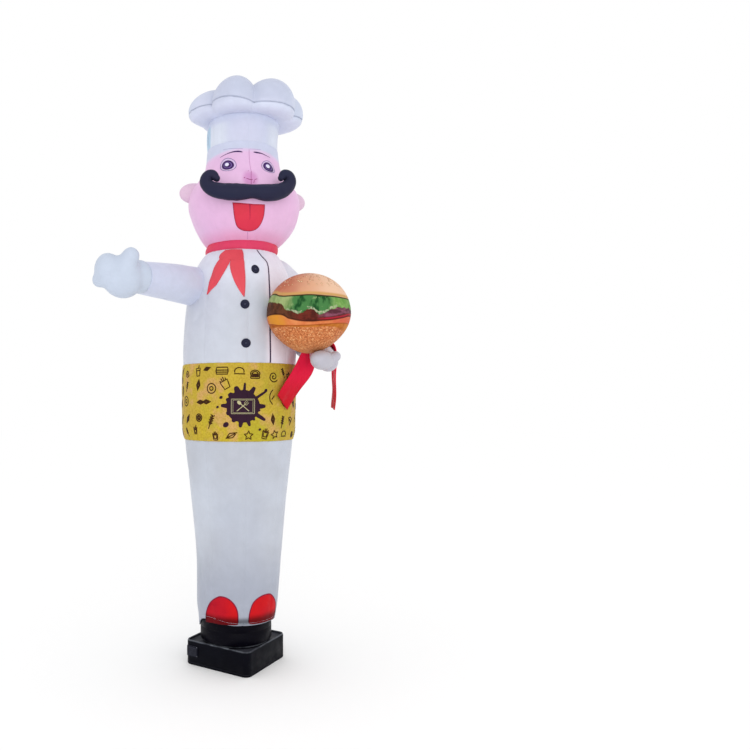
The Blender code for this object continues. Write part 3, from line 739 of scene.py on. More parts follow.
def plastic(name, colour, other, dust_and_sky_sheen=0.5):
    """Black moulded plastic: grain, scuffs, a painted highlight along the rim, and paler on what
    faces up: partly dust, partly a painted reflection of the sky.
    """
    nodes = Nodes(name)
    z = nodes.xyz[2]
    cloudy = nodes.noise(9.0, 4.0).spread(0.35, 0.7, 0.55, 1.0)
    rim = z.spread(BASE_HEIGHT - 0.008, BASE_HEIGHT - 0.002)
    rim = rim * z.spread(BASE_HEIGHT + 0.002, BASE_HEIGHT)
    patchy = nodes.noise(14.0, 3.0).spread(0.36, 0.60, 0.15, 0.8)
    scratched = nodes.noise(34.0, 6.0, 0.7, stretch=(0.25, 1.0, 1.4)).spread(0.62, 0.74)
    base = nodes.layered(
        nodes.mix(cloudy, colour, other),
        # paler where it faces up: partly dust, partly a painted reflection of the sky
        (nodes.facing_up().spread(0.25, 0.95) * dust_and_sky_sheen * cloudy, (92, 94, 104)),
        # a painted highlight along the rim's top edge, broken up in patches
        (rim * patchy, (104, 108, 116)),
        (scratched * 0.07, (112, 114, 124)),
    )
    rough = nodes.noise(22.0, 3.0).spread(0.3, 0.7, 0.36, 0.52)
    grain = nodes.bump(nodes.noise(620.0, 3.0, 0.6), 0.3, 0.0003)
    nodes.set(Base_Color=base, Roughness=rough, Normal=grain, Specular_IOR_Level=0.05)
    return nodes.material


def screw_steel():
    nodes = Nodes("screw_steel")
    brushed = nodes.noise(300.0, 3.0)
    base = nodes.mix(brushed, (120, 122, 130), (160, 162, 168))
    nodes.set(Base_Color=base, Roughness=brushed.spread(0, 1, 0.3, 0.45))
    nodes.set(Metallic=1.0, Normal=nodes.bump(brushed, 0.1, 0.0002))
    return nodes.material


def jacket_tint(nodes, base):
    """Painted light: paler over the shoulders, which face the light, and beside the ball, lifting
    the shade it casts; a little lavender in places.
    """
    x, y, z = nodes.xyz
    return nodes.layered(
        base,
        # painted light: paler over the shoulders, which face the light
        (z.spread(2.12, 2.30), (220, 224, 237)),
        (nodes.noise(1.3, 2.0, stretch=(1, 1, 0.7)).spread(0.45, 0.72, 0, 0.5), (200, 196, 213)),
        # painted light beside the ball, lifting the shade that it casts on the jacket
        (x.spread(0.10, 0.15) * y.spread(0.05, -0.10), (230, 225, 237)),
    )


def leg_tint(nodes, base):
    """Painted shade: greyer down the middle and lower down, with a cool green cast in the shade
    low on it.
    """
    x, _, z = nodes.xyz
    middle = abs(x + 0.02).spread(0.19, 0.06)
    return nodes.layered(
        base,
        # painted shade: greyer down the middle, lower down
        (middle * z.spread(1.22, 0.9, 0, 0.5), (176, 182, 196)),
        # painted shade: a cool green cast low down
        (nodes.noise(2.6, 3.0).spread(0.5, 0.7) * z.spread(0.75, 0.35), (170, 184, 190)),
        # painted shade: greyer towards the bottom
        (z.spread(0.8, 0.42, 0, 0.75), (158, 163, 178)),
    )


def apron_tint(nodes, base):
    """Beige and olive patches in the yellow, and the grain of a coarse print."""
    return nodes.layered(
        base,
        (nodes.noise(8.0, 4.0, 0.6).spread(0.50, 0.66, 0, 0.85), (208, 162, 106)),
        (nodes.noise(5.0, 3.0, 0.6).spread(0.50, 0.72, 0, 0.8), (176, 168, 48)),
        (nodes.noise(95.0, 4.0, 0.7).spread(0.40, 0.66, 0, 0.55), (160, 132, 40)),
    )


def napkin_tint(nodes, base):
    """Brighter and pinker high up, where light comes through it."""
    return nodes.mix(nodes.xyz[2].spread(1.52, 1.78), base, (238, 34, 74))


def shoe_tint(nodes, base):
    """Crimson at the left of each shoe, scarlet at its right."""
    x = nodes.xyz[0]
    crimson = nodes.noise(7.0, 3.0).spread(0.42, 0.62)
    return nodes.layered(
        base,
        (x.spread(-0.04, -0.12, 0, 0.7), (178, 20, 40)),
        (crimson * x.spread(-0.02, -0.10, 0.25, 1.0), (158, 12, 38)),
    )


def over_collar(nodes):
    """Painted shade on the leg's cloth: darker low on its front, where the black collar behind
    the thin cloth keeps light from coming through its hem.
    """
    x, y, z = nodes.xyz
    edge = nodes.noise(11.0, 3.0) * 0.016 + z
    seen = x.spread(-0.21, -0.17) * y.spread(0.06, -0.05)
    # painted shade: darker low on the front, where the collar stands behind the cloth
    dark = edge.spread(0.300, 0.345, 1.0, 0.0) * seen * edge.spread(0.287, 0.296, 0.45, 1.0)
    return dark.spread(0.0, 1.0, 1.0, 0.30)


def over_collar_red(nodes):
    """Painted shade low on the shoes, as over_collar, for the shoes."""
    return (nodes.noise(11.0, 3.0) * 0.016 + nodes.xyz[2]).spread(0.305, 0.352, 0.24, 1.0)


def hat_tint(nodes, base):
    """Greyer on top; painted light under the puff and at the band's flanks, lifting their shade;
    painted bluish shade on a strip of one flank, and a dark seam line there.
    """
    x, y, z = nodes.xyz
    under = nodes.facing_up().spread(0.0, -0.55, 0, 0.25) * z.spread(3.13, 3.16)
    under = nodes.math("MAXIMUM", under, abs(z - 3.165).spread(0.045, 0.0))
    aside = abs(x - 0.03)
    strip = x.spread(-0.166, -0.172) * z.spread(3.14, 3.11) * y.spread(-0.02, -0.08)
    seam = abs(x + 0.180).spread(0.003, 0.0015) * z.spread(3.12, 3.10) * y.spread(-0.095, -0.11)
    broken = nodes.noise(30.0, 3.0, stretch=(1, 1, 0.25)).spread(0.45, 0.6)
    return nodes.layered(
        base,
        # painted light: paler under the puff and at the band's top, lifting the shade there
        (under, (210, 216, 236)),
        # painted light: paler at the band's flanks, lifting their shade
        (aside.spread(0.09, 0.15) * z.spread(3.14, 3.10), (214, 220, 234)),
        (z.spread(3.17, 3.22) * aside.spread(0.27, 0.19, 0, 0.6), (184, 191, 212)),
        # painted shade: a bluish strip on one flank of the band
        (strip * 0.85, (164, 198, 222)),
        (seam * broken, (84, 110, 148)),
    )


def face_tint(nodes, base):
    """White above the sewn edge of the hat, a blush round the nose, rosier at the chin."""
    x, y, z = nodes.xyz
    across, rise, away = (x - 0.026) / 0.043, (z - 2.768) / 0.054, x - 0.03
    blush = (across * across + rise * rise).spread(1.6, 0.1, 0, 0.85) * y.spread(-0.2, -0.3)
    above = z + away * away * 0.62
    return nodes.layered(
        base,
        (z.spread(2.53, 2.46, 0, 0.6), (226, 150, 190)),
        (z.spread(2.84, 2.95, 0, 0.30), (214, 186, 222)),
        (blush, (206, 138, 193)),
        (above.spread(2.936, 2.962, 0, 0.65), (216, 204, 230)),
        (above.spread(2.956, 2.970), (201, 206, 228)),
    )


# The printed layers' edges round the ball: (degrees from the side that faces the hand's
# front, height over the ball's radius)
BUN_LINE = (
    (-180, 0.32), (-120, 0.37), (-75, 0.43), (-58, 0.41), (-44, 0.345), (-24, 0.315), (0, 0.32),
    (37, 0.30), (66, 0.30), (110, 0.33), (150, 0.31), (180, 0.32),
)
LEAF_LINE = (
    (-180, 0.02), (-130, 0.10), (-95, 0.23), (-76, 0.25), (-62, 0.22), (-43, 0.16), (-35, 0.08),
    (-30, 0.01), (-23, -0.03), (-16, -0.11), (-8, -0.08), (3, -0.03), (10, -0.09), (17, -0.12),
    (23, -0.07), (32, 0.01), (42, 0.04), (72, 0.06), (105, 0.02), (140, -0.06), (180, 0.02),
)
MEAT_LINE = (
    (-180, -0.22), (-120, -0.14), (-90, -0.09), (-57, -0.09), (-43, -0.10), (-34, -0.15),
    (-28, -0.21), (-18, -0.25), (-5, -0.285), (8, -0.29), (20, -0.27), (36, -0.24), (52, -0.19),
    (76, -0.11), (110, -0.13), (150, -0.22), (180, -0.22),
)
SAUCE_LINE = (
    (-180, -0.32), (-100, -0.28), (-76, -0.28), (-44, -0.345), (-17, -0.37), (6, -0.37),
    (24, -0.345), (42, -0.32), (80, -0.28), (130, -0.34), (180, -0.32),
)
CHEESE_LINE = (
    (-180, -0.42), (-85, -0.37), (-55, -0.375), (-35, -0.38), (-10, -0.41), (14, -0.41),
    (31, -0.39), (45, -0.40), (66, -0.45), (95, -0.44), (130, -0.40), (180, -0.42),
)
BURGER_FRONT = -13.9  # the azimuth that the print faces


def burger_material():
    """The printed ball: bun, sesame, lettuce, patty, onion, cheese and lower bun by height."""
    nodes = Nodes("burger_print")
    x, y, z = (axis - middle for axis, middle in zip(nodes.xyz, BURGER_MIDDLE))
    level = z / BURGER_RADIUS
    azimuth = nodes.math("ARCTAN2", x, y * -1.0)
    turn = nodes.math("FRACT", azimuth * (0.5 / math.pi) + (0.5 - BURGER_FRONT / 360))
    ruffle = nodes.noise(26.0, 4.0, 0.6, stretch=(1, 1, 0.6)) - 0.5
    wavy = (nodes.noise(9.0, 2.0) - 0.5) * 0.03 + level
    frilly = ruffle * 0.16 + wavy
    ragged = ruffle * 0.05 + turn

    def edge(rows):
        node = nodes.make("ShaderNodeFloatCurve", {"Factor": 1.0, "Value": turn})
        line = node.mapping.curves[0]
        spots = [((a + 180) / 360, v) for a, v in rows]
        line.points[0].location = spots[0]
        line.points[1].location = spots[-1]
        for spot in spots[1:-1]:
            line.points.new(*spot)
        node.mapping.use_clip = False
        node.mapping.update()
        return Wire(nodes, node.outputs[0])

    def over(value, line, width=0.012, shift=0.0):
        """1 above an edge line, 0 below it."""
        return (value - line).spread(shift - width, shift + width)

    def between(value, line, low, high, width=0.010):
        below = (value - line).spread(high - width, high + width, 1.0, 0.0)
        return over(value, line, width, low) * below

    def sector(low, high, width=0.012):
        """1 between two azimuths of the print, ragged at its ends."""
        a, b = (low + 180) / 360, (high + 180) / 360
        return ragged.spread(a - width, a + width) * ragged.spread(b - width, b + width, 1.0, 0.0)

    def mixed(scale, low, high, one, two, stretch=None, detail=4.0):
        share = nodes.noise(scale, detail, 0.62, stretch=stretch).spread(low, high)
        return nodes.mix(share, one, two)

    bun_line, leaf_line, meat_line, sauce_line, cheese_line = (
        edge(rows) for rows in (BUN_LINE, LEAF_LINE, MEAT_LINE, SAUCE_LINE, CHEESE_LINE)
    )
    # lower bun: crumbs, light and dark
    crumb = nodes.layered(
        mixed(120.0, 0.38, 0.62, (160, 84, 46), (212, 134, 84)),
        (nodes.noise(80.0, 5.0, 0.7).spread(0.53, 0.66), (236, 182, 128)),
        (nodes.noise(86.0, 5.0, 0.7).spread(0.42, 0.32, 0, 0.8), (134, 62, 34)),
        (level.spread(-0.6, -0.98, 0, 0.5), (186, 128, 84)),
    )
    cheese = mixed(12.0, 0.35, 0.65, (196, 122, 48), (158, 80, 26))
    sauce = nodes.layered(
        mixed(10.0, 0.35, 0.65, (218, 136, 84), (202, 106, 62)),
        (sector(-75, -37, 0.03), (212, 140, 48)),
        (sector(40, 110, 0.03), (202, 98, 70)),
    )
    # meat, with onion and a red slice along one side
    onion = mixed(20.0, 0.4, 0.6, (84, 42, 52), (136, 78, 98), stretch=(0.6, 0.6, 2.0))
    meat = nodes.layered(
        mixed(34.0, 0.35, 0.65, (66, 38, 24), (98, 58, 38)),
        (sector(-22, 180, 0.03), mixed(24.0, 0.4, 0.6, (76, 30, 24), (106, 42, 32))),
        (sector(17, 110, 0.02) * over(wavy, meat_line, 0.02, 0.08), onion),
        (sector(18, 100, 0.02) * between(wavy, meat_line, 0.012, 0.062), (164, 34, 52)),
    )
    # lettuce: dark leaves between two pale ones, with a pale frilly edge
    pale = mixed(18.0, 0.35, 0.65, (118, 144, 84), (158, 174, 116), stretch=(1.0, 1.0, 0.6))
    frill = between(frilly, leaf_line, 0.0, 0.060) * sector(-26, 40, 0.02)
    leaf = nodes.layered(
        mixed(15.0, 0.44, 0.56, (26, 74, 36), (70, 122, 68), stretch=(1, 1, 0.5), detail=3.0),
        (nodes.noise(30.0, 3.0, 0.6).spread(0.60, 0.72), (140, 168, 112)),
        (sector(-120, -25, 0.016), pale),
        (sector(33, 140, 0.02), mixed(16.0, 0.35, 0.65, (96, 146, 66), (142, 176, 104))),
        (frill * nodes.noise(42.0, 3.0).spread(0.44, 0.58, 0.0, 0.85), (174, 180, 148)),
    )
    # upper bun: redder on one side, paler on the other, sesame round its top
    side = nodes.math("SINE", azimuth - math.radians(BURGER_FRONT))
    cells = {"Vector": nodes.stretched((1, 1, 0.6)), "Scale": 62.0}
    seeds = nodes.new("ShaderNodeTexVoronoi", cells, "Distance")
    top = level.spread(0.50, 0.64)
    bun = nodes.layered(
        nodes.mix(side.spread(-0.8, 0.8), (186, 110, 84), (230, 190, 160)),
        (nodes.noise(7.0, 3.0).spread(0.42, 0.68) * 0.5, (220, 164, 126)),
        (between(level, bun_line, 0.0, 0.07, 0.03), (198, 152, 92)),
        (seeds.spread(0.30, 0.36, 1.0, 0.0) * top * 0.85, (150, 88, 56)),
        (seeds.spread(0.18, 0.24, 1.0, 0.0) * top, (240, 212, 170)),
    )
    base = nodes.layered(
        crumb,
        (over(wavy, cheese_line), cheese),
        (between(wavy, sauce_line, -0.012, 0.012) * 0.8, (152, 72, 32)),
        (over(wavy, sauce_line, 0.01, 0.012), sauce),
        (over(wavy, meat_line), meat),
        (between(wavy, meat_line, -0.008, 0.028) * 0.7, (56, 22, 16)),
        (over(frilly, leaf_line), leaf),
        (over(wavy, bun_line, 0.012, -0.03), (48, 42, 20)),
        (over(wavy, bun_line), bun),
    )
    normal = nodes.bump(nodes.noise(9.0, 4.0, 0.6), 0.3, 0.004)
    normal = nodes.bump(nodes.noise(1500.0, 2.0), 0.25, 0.00016, normal)
    rough = nodes.noise(50.0).spread(0.3, 0.7, 0.44, 0.54)
    nodes.set(Base_Color=base, Roughness=rough, Normal=normal)
    nodes.set(Specular_IOR_Level=0.05, Sheen_Weight=0.01, Sheen_Roughness=0.45)
    return nodes.material


# Cloths: material's name, two colours that it wanders between, and what else differs
FLAT = {"uv": False}
DULL = {"sheen": 0.02, "gloss": 0.08}
INKED = {"sheen": 0.01, "gloss": 0.06}
CLOTHS = {
    "white": ("white_nylon", (192, 202, 219), (197, 204, 222), FLAT),
    # the left hand's white nylon, made darker: painted shade under the ball
    "glove": ("white_nylon_glove_shaded", (190, 187, 199), (182, 180, 190), FLAT),
    "jacket": ("white_nylon_jacket", (194, 199, 210), (200, 204, 216), {"tint": jacket_tint}),
    # the left sleeve's white nylon, made paler: painted light
    "left_sleeve": ("white_nylon_left", (216, 218, 230), (222, 222, 232), {}),
    "sleeve": ("white_nylon_sleeve", (202, 208, 230), (205, 211, 230), {}),
    "hat": ("white_nylon_hat", (200, 208, 228), (205, 208, 229), {"tint": hat_tint}),
    "legs": (
        "white_nylon_legs", (184, 188, 198), (195, 201, 213),
        {"tint": leg_tint, "shade": over_collar},
    ),
    "pink": ("pink_nylon", (230, 190, 225), (228, 184, 221), {"tint": face_tint}),
    "ear": ("pink_nylon_ear", (214, 176, 206), (222, 192, 214), FLAT),
    "navy": ("navy_nylon", (36, 44, 68), (42, 40, 62), {**FLAT, **DULL}),
    "neck": ("rose_nylon", (220, 70, 84), (218, 68, 104), DULL),
    "scarf": ("scarf_nylon", (224, 92, 100), (220, 78, 90), {**FLAT, **DULL}),
    "napkin": ("red_nylon", (206, 26, 42), (188, 22, 34), {**INKED, "tint": napkin_tint}),
    "apron": (
        "yellow_nylon", (196, 174, 52), (194, 164, 66),
        {"sheen": 0.01, "gloss": 0.05, "tint": apron_tint},
    ),
    "shoe": (
        "shoe_ink", (200, 22, 28), (196, 18, 36),
        {**FLAT, **INKED, "tint": shoe_tint, "shade": over_collar_red},
    ),
    "button": ("button_nylon", (26, 30, 54), (34, 36, 58), {**FLAT, "sheen": 0.03}),
}
INKS = {
    "brown_ink": ((70, 42, 14), (56, 34, 18)), "dark_ink": ((52, 26, 44), (44, 24, 40)),
    "cream_ink": ((196, 190, 148), (176, 170, 128)), "plum_ink": ((62, 48, 72), (74, 58, 84)),
    "purple_ink": ((74, 44, 104), (58, 34, 84)), "violet_ink": ((122, 98, 158), (96, 74, 134)),
    "eye_white": ((224, 200, 232), (216, 192, 228)), "glint": ((236, 232, 252), (230, 226, 248)),
    "grey_thread": ((168, 176, 198), (178, 184, 204)),
    "slate_thread": ((84, 90, 116), (96, 102, 126)),
    "faint_ink": ((176, 160, 204), (160, 144, 192)),
    "seam_ink": ((196, 138, 186), (184, 122, 172)),
    "nostril_ink": ((160, 60, 122), (140, 50, 104)),
    "mouth_ink": ((221, 66, 76), (217, 58, 82)), "lip_ink": ((158, 32, 74), (140, 30, 70)),
}


def make_materials():
    made = {key: cloth(*row, **more) for key, (*row, more) in CLOTHS.items()}
    made.update({name: printed(name, *colours) for name, colours in INKS.items()})
    return made | {
        # the shoes' edge lines take the same painted shade low down as the shoes
        "shoe_line": printed("shoe_line", (140, 26, 56), (116, 24, 52), over_collar_red),
        "burger": burger_material(),
        "base": plastic("base_plastic", (2, 2, 9), (7, 8, 17)),
        "collar": plastic("collar_plastic", (3, 2, 9), (8, 7, 16), dust_and_sky_sheen=0.12),
        "grille": plastic("grille_plastic", (14, 15, 24), (30, 31, 42)),
        "steel": screw_steel(),
    }


# ---------------------------------------------------------------- trunk
LEG = Section(
    LEGS,
    2.1,
    puckers=((1.325, 0.0022, 0.035, 34),),
    folds=(
        (-64, 0.34, -54, 0.62, 0.016, 0.004), (-72, 0.60, -60, 0.42, 0.014, 0.003),
        (64, 0.42, 74, 0.66, 0.016, 0.003), (-20, 0.52, 18, 0.50, 0.020, 0.0015),
        (150, 0.38, 168, 0.60, 0.020, 0.004), (-160, 0.44, -140, 0.66, 0.018, 0.003),
        (80, 1.20, 98, 1.06, 0.018, 0.003), (-100, 1.18, -84, 1.02, 0.018, 0.003),
    ),
)
BELLY = Section(
    APRON,
    4.4,
    puckers=((1.325, 0.0022, 0.030, 34), (1.760, 0.0022, 0.030, 36)),
)
TORSO = Section(
    JACKET,
    1.3,
    puckers=((1.760, 0.0016, 0.035, 36), (2.405, 0.0020, 0.040, 30)),
    folds=(
        (-46, 2.30, -30, 2.12, 0.018, 0.006), (-44, 2.10, -28, 2.04, 0.018, 0.005),
        (-40, 2.20, -24, 2.20, 0.016, 0.004), (30, 2.30, 44, 2.20, 0.018, 0.005),
        (50, 2.36, 62, 2.22, 0.018, 0.005), (62, 2.12, 76, 1.98, 0.018, 0.004),
        (-62, 1.98, -48, 2.06, 0.020, 0.004), (120, 2.22, 140, 2.10, 0.020, 0.004),
        (-140, 2.20, -118, 2.12, 0.020, 0.004),
    ),
)
NECK = Section(NECK_BAND, 1.0, puckers=((2.405, 0.001, 0.02, 26), (2.455, 0.001, 0.02, 26)))
FACE = Section(
    HEAD,
    3.2,
    puckers=((2.455, 0.0036, 0.045, 24), (3.005, 0.0012, 0.025, 22)),
    folds=(
        (-14, 2.735, -8, 2.765, 0.010, 0.003), (5, 2.765, 11, 2.735, 0.010, 0.003),
        (-30, 2.70, 0, 2.705, 0.012, 0.003), (0, 2.705, 30, 2.70, 0.012, 0.003),
    ),
    soft=0.0016,
)
BRIM = Section(
    HAT_BAND,
    5.0,
    puckers=((3.005, 0.0014, 0.025, 22), (3.160, 0.0012, 0.035, 24)),
    folds=(
        (-66, 3.02, -64, 3.14, 0.012, 0.005), (66, 3.04, 64, 3.15, 0.012, 0.004),
    ),
    soft=0.0012,
)
LEG_RADIUS = 0.26  # near the hem


def leg_piece():
    """The white leg section, open below, drawn down over the collar and turned in at its hem."""
    grid = around(SEAMS, 1.3)
    foot = hem(near(grid, 0))[..., 0]
    heights = up(0.0, 1.0, 0.008)
    z = foot[None, :] + heights[:, None] * (LEG.high - foot)[None, :]
    rings = list(LEG.place(grid[None, :], z))
    # the turned-in hem, about the collar's own axis
    a = np.radians(grid)
    inside = [ring_at(a, 0.2145, foot + 0.020), ring_at(a, 0.2150, foot + 0.002)]
    hem_edge = rings[0] * 0.5 + ring_at(a, 0.2150, foot - 0.0015) * 0.5
    rings = [ring_at(a, 0.2140, 0.2985), *inside, hem_edge, *rings]
    us = girth(grid, LEG_RADIUS)
    vs = [0.30, 0.03, 0.01, 0.0, *(foot.mean() + heights * (LEG.high - foot.mean()))]
    thing = rings_mesh("leg_tube_cloth", rings, "legs", us, vs)
    ride(thing, "white_cloth", "leg_tube")
    # the hem's doubled edge and its row of stitches
    line = [(x, float(hem(near(np.array(x), 0))[0]) + 0.016) for x in np.arange(-180, 181, 3.0)]
    stitches = dashes(line, 0.0, 0.004, 0.0028, 0.24)
    thread = ribbons("hem_stitches", stitches, LEG.place, "white", 0.0009)
    ride(thread, "white_cloth")


def dashes(line, shift, long, gap, radius, half=0.0006):
    """Short stitches along a line of azimuths and heights."""
    line = np.array(line, float)
    metres = np.stack([np.radians(line[:, 0]) * radius, line[:, 1] + shift], axis=1)
    steps = np.linalg.norm(np.diff(metres, axis=0), axis=1)
    run = np.concatenate([[0], np.cumsum(steps)])
    out = []
    at = 0.0
    while at + long < run[-1]:
        spots = np.array([at, at + long])
        x = np.interp(spots, run, metres[:, 0])
        y = np.interp(spots, run, metres[:, 1])
        out.append(([(math.degrees(x[k] / radius), y[k]) for k in (0, 1)], half, radius))
        at += long + gap
    return out


def trunk():
    leg_piece()
    for node, name, section, material, slot in (
        ("apron_band", "apron_cloth", BELLY, "apron", "yellow_cloth"),
        ("jacket", "jacket_cloth", TORSO, "jacket", "white_cloth"),
        ("neck_band", "neck_cloth", NECK, "neck", "red_cloth"),
        ("head", "head_cloth", FACE, "pink", "pink_cloth"),
        ("hat_band", "hat_band_cloth", BRIM, "hat", "white_cloth"),
    ):
        grid = around(SEAMS, 1.3)
        heights = up(section.low, section.high)
        rings = section.place(grid[None, :], heights[:, None])
        us = girth(grid, float(np.mean(section.profile(heights))))
        thing = rings_mesh(name, rings, material, us, heights)
        ride(thing, slot, node)


def puff_point(azimuth, step, proud=0.0):
    """A point of the hat's puff: azimuth, and how far along its profile from the band."""
    azimuth, step = np.broadcast_arrays(np.asarray(azimuth, float), np.asarray(step, float))
    across = np.interp(near(azimuth, 0), PUFF_VALLEYS, range(len(PUFF_VALLEYS)))
    fullness = (np.sin(np.pi * across) ** 2 + 0.003) ** (PUFF_CREASE / 2)
    uneven = 1 + 0.02 * waves(azimuth, 4, 2.2)
    lobe, valley = PUFF_CURVES[0](step), PUFF_CURVES[1](step)
    spot = valley + (lobe - valley) * (fullness * uneven)[..., None]
    reach, z = spot[..., 0] + proud, spot[..., 1]
    seam_pull = ridge(step - PUFF_SEAM, 0.16)
    gather = 0.0022 * waves(azimuth, 34, 1.1) * ridge(step - PUFF_SEAM, 0.8)
    gather = gather + 0.0016 * waves(azimuth, 24, 4.1) * ridge(step, 0.9)
    reach = reach - 0.0045 * seam_pull + gather * np.clip(reach / 0.2, 0, 1)
    middle = lean(z)
    x, y = np.sin(np.radians(azimuth)) * reach, -np.cos(np.radians(azimuth)) * reach
    rise = (x * PUFF_TIP[0] + y * PUFF_TIP[1]) * PUFF_TIPPING(step)[..., 0]
    aside = (near(azimuth, 0) - PUFF_SAG[0]) / PUFF_SAG[1]
    rise = rise - PUFF_SAG[2] * np.exp(-(aside**2)) * PUFF_SAGGING(step)[..., 0]
    return np.stack([middle[..., 0] + x, middle[..., 1] + y, z + rise], axis=-1)


PUFF_TIPPING = curve(list(enumerate(PUFF_TIPPED)))
PUFF_SAGGING = curve(list(enumerate(PUFF_SAGGED)))
PUFF_CURVES = [numbered(rows) for rows in (PUFF_LOBE, PUFF_VALLEY)]


def puff():
    grid = around(PUFF_VALLEYS[:-1], 1.4)
    us = girth(grid, PUFF_RADIUS)
    last = len(PUFF_LOBE) - 1
    for node, name, low, high, rows in (
        ("hat_side", "hat_side_cloth", 0.0, PUFF_SEAM - 0.004, 26),
        ("hat_top", "hat_top_cloth", PUFF_SEAM + 0.004, last - 0.12, 44),
    ):
        steps = np.linspace(low, high, rows)
        rings = puff_point(grid[None, :], steps[:, None])
        thing = rings_mesh(name, rings, "hat", us, steps * PUFF_ROW)
        ride(thing, "white_cloth", node)
    # the seam between the two panels, sewn over with grey thread
    line = [(azimuth, 0.0) for azimuth in np.arange(-180, 181, 2.0)]

    def on_seam(azimuth, rise, proud=0.0):
        return puff_point(azimuth, PUFF_SEAM + np.asarray(rise) / PUFF_ROW, proud)

    seam = ribbons("hat_seam", [(line, 0.0014, 0.31)], on_seam, "grey_thread", 0.0022)
    ride(seam, "white_cloth")


# ---------------------------------------------------------------- head
EAR_ROUND, EAR_ROWS = 48, 32


def on_ear(spot):
    """The number of a point or face of a round ear: row by row, in half steps."""
    x, y, z = spot.normalized()
    row = round(2 * EAR_ROWS * math.acos(max(-1.0, min(1.0, z))) / math.pi)
    return row * 2 * EAR_ROUND + round(EAR_ROUND * math.atan2(y, x) / math.pi) % (2 * EAR_ROUND)


def head_extras():
    for node, (azimuth, z) in EARS.items():
        out = outwards(azimuth)
        turned = Matrix((outwards(azimuth + 90), out, Vector((0, 0, 1)))).transposed()
        centre = Vector(lean(np.array(z))[[0, 1]].tolist() + [z])
        place = Matrix.LocRotScale(centre + out * EAR_REACH, turned.to_quaternion(), EAR_SIZE)
        bm = bmesh.new()
        bmesh.ops.create_uvsphere(bm, u_segments=EAR_ROUND, v_segments=EAR_ROWS, radius=1.0)
        bm.verts.sort(key=lambda v: on_ear(v.co))
        bm.faces.sort(key=lambda f: on_ear(f.calc_center_median()))
        for v in bm.verts:
            x, y, zz = v.co
            hollow = 0.20 * math.exp(-((x + 0.72) ** 2 + (zz + 0.05) ** 2) / 0.10)
            seam = 0.05 * math.exp(-((x / 0.06) ** 2))
            v.co = Vector((x + hollow, y, zz)) * (1 - seam)
        bmesh.ops.transform(bm, matrix=place, verts=bm.verts)
        ear = solid_of(node + "_cloth", bm, MATERIALS["ear"])
        ear.data.shade_smooth()
        ride(ear, "pink_cloth", node)

    middle = lean(np.array(CHEEKS))
    rows = []
    for azimuth, reach, z, half in MOUSTACHE:
        out = outwards(azimuth)
        fat = 1 + 0.10 * min(1.0, abs(azimuth + 2) / 26)
        rows.append((middle[0] + out.x * reach, middle[1] + out.y * reach, z, half * fat))

    def relief(turns, length):
        gather = 0.0007 * math.sin(length * 95 + 2.2 * math.sin(length * 23))
        return gather * np.cos(turns * 2 + 0.6) - 0.0016 * ridge(np.sin(turns), 0.16)

    rings = tube(rows, 150, 40, relief, ends=(8, 8))
    thing = rings_mesh("moustache_cloth", rings, "navy")
    ride(thing, "navy_cloth", "moustache")


def ellipse(azimuth, z, half_wide, half_high, tilt, radius, count=48):
    """Outline in azimuths and heights of a tilted ellipse, sizes in metres."""
    t = np.linspace(0, 2 * np.pi, count, endpoint=False)
    c, s = math.cos(math.radians(tilt)), math.sin(math.radians(tilt))
    x, y = half_wide * np.cos(t), half_high * np.sin(t)
    x, y = x * c - y * s, x * s + y * c
    return np.stack([azimuth + np.degrees(x / radius), z + y], axis=1)


def stacked(place, lift):
    """The same surface, raised: for a print that lies over another print."""
    return lambda azimuth, z, proud=0.0: place(azimuth, z, proud + lift)


# Eyes: (azimuth, height, half width, half height, tilt)
EYES = {
    "left": {
        "white": (-29.3, 2.867, 0.052, 0.040, -26),
        "iris": (-29.4, 2.865, 0.039, 0.030, -22),
        "glint": (-30.6, 2.869, 0.0125, 0.0105, -30),
    },
    "right": {
        "white": (28.7, 2.865, 0.050, 0.037, 27),
        "iris": (28.3, 2.863, 0.038, 0.030, 27),
        "glint": (27.6, 2.868, 0.0150, 0.0110, 30),
    },
}
# The head's radius at what is printed on it
EYE_RADIUS, BROW_RADIUS, NOSE_RADIUS = 0.240, 0.217, 0.306
MOUTH_RADIUS, FOLD_RADIUS, BRIM_RADIUS, SEAM_RADIUS = 0.29, 0.30, 0.214, 0.24


def scaled(shape, share):
    azimuth, z, wide, high, tilt = shape
    return azimuth, z, wide * share, high * share, tilt


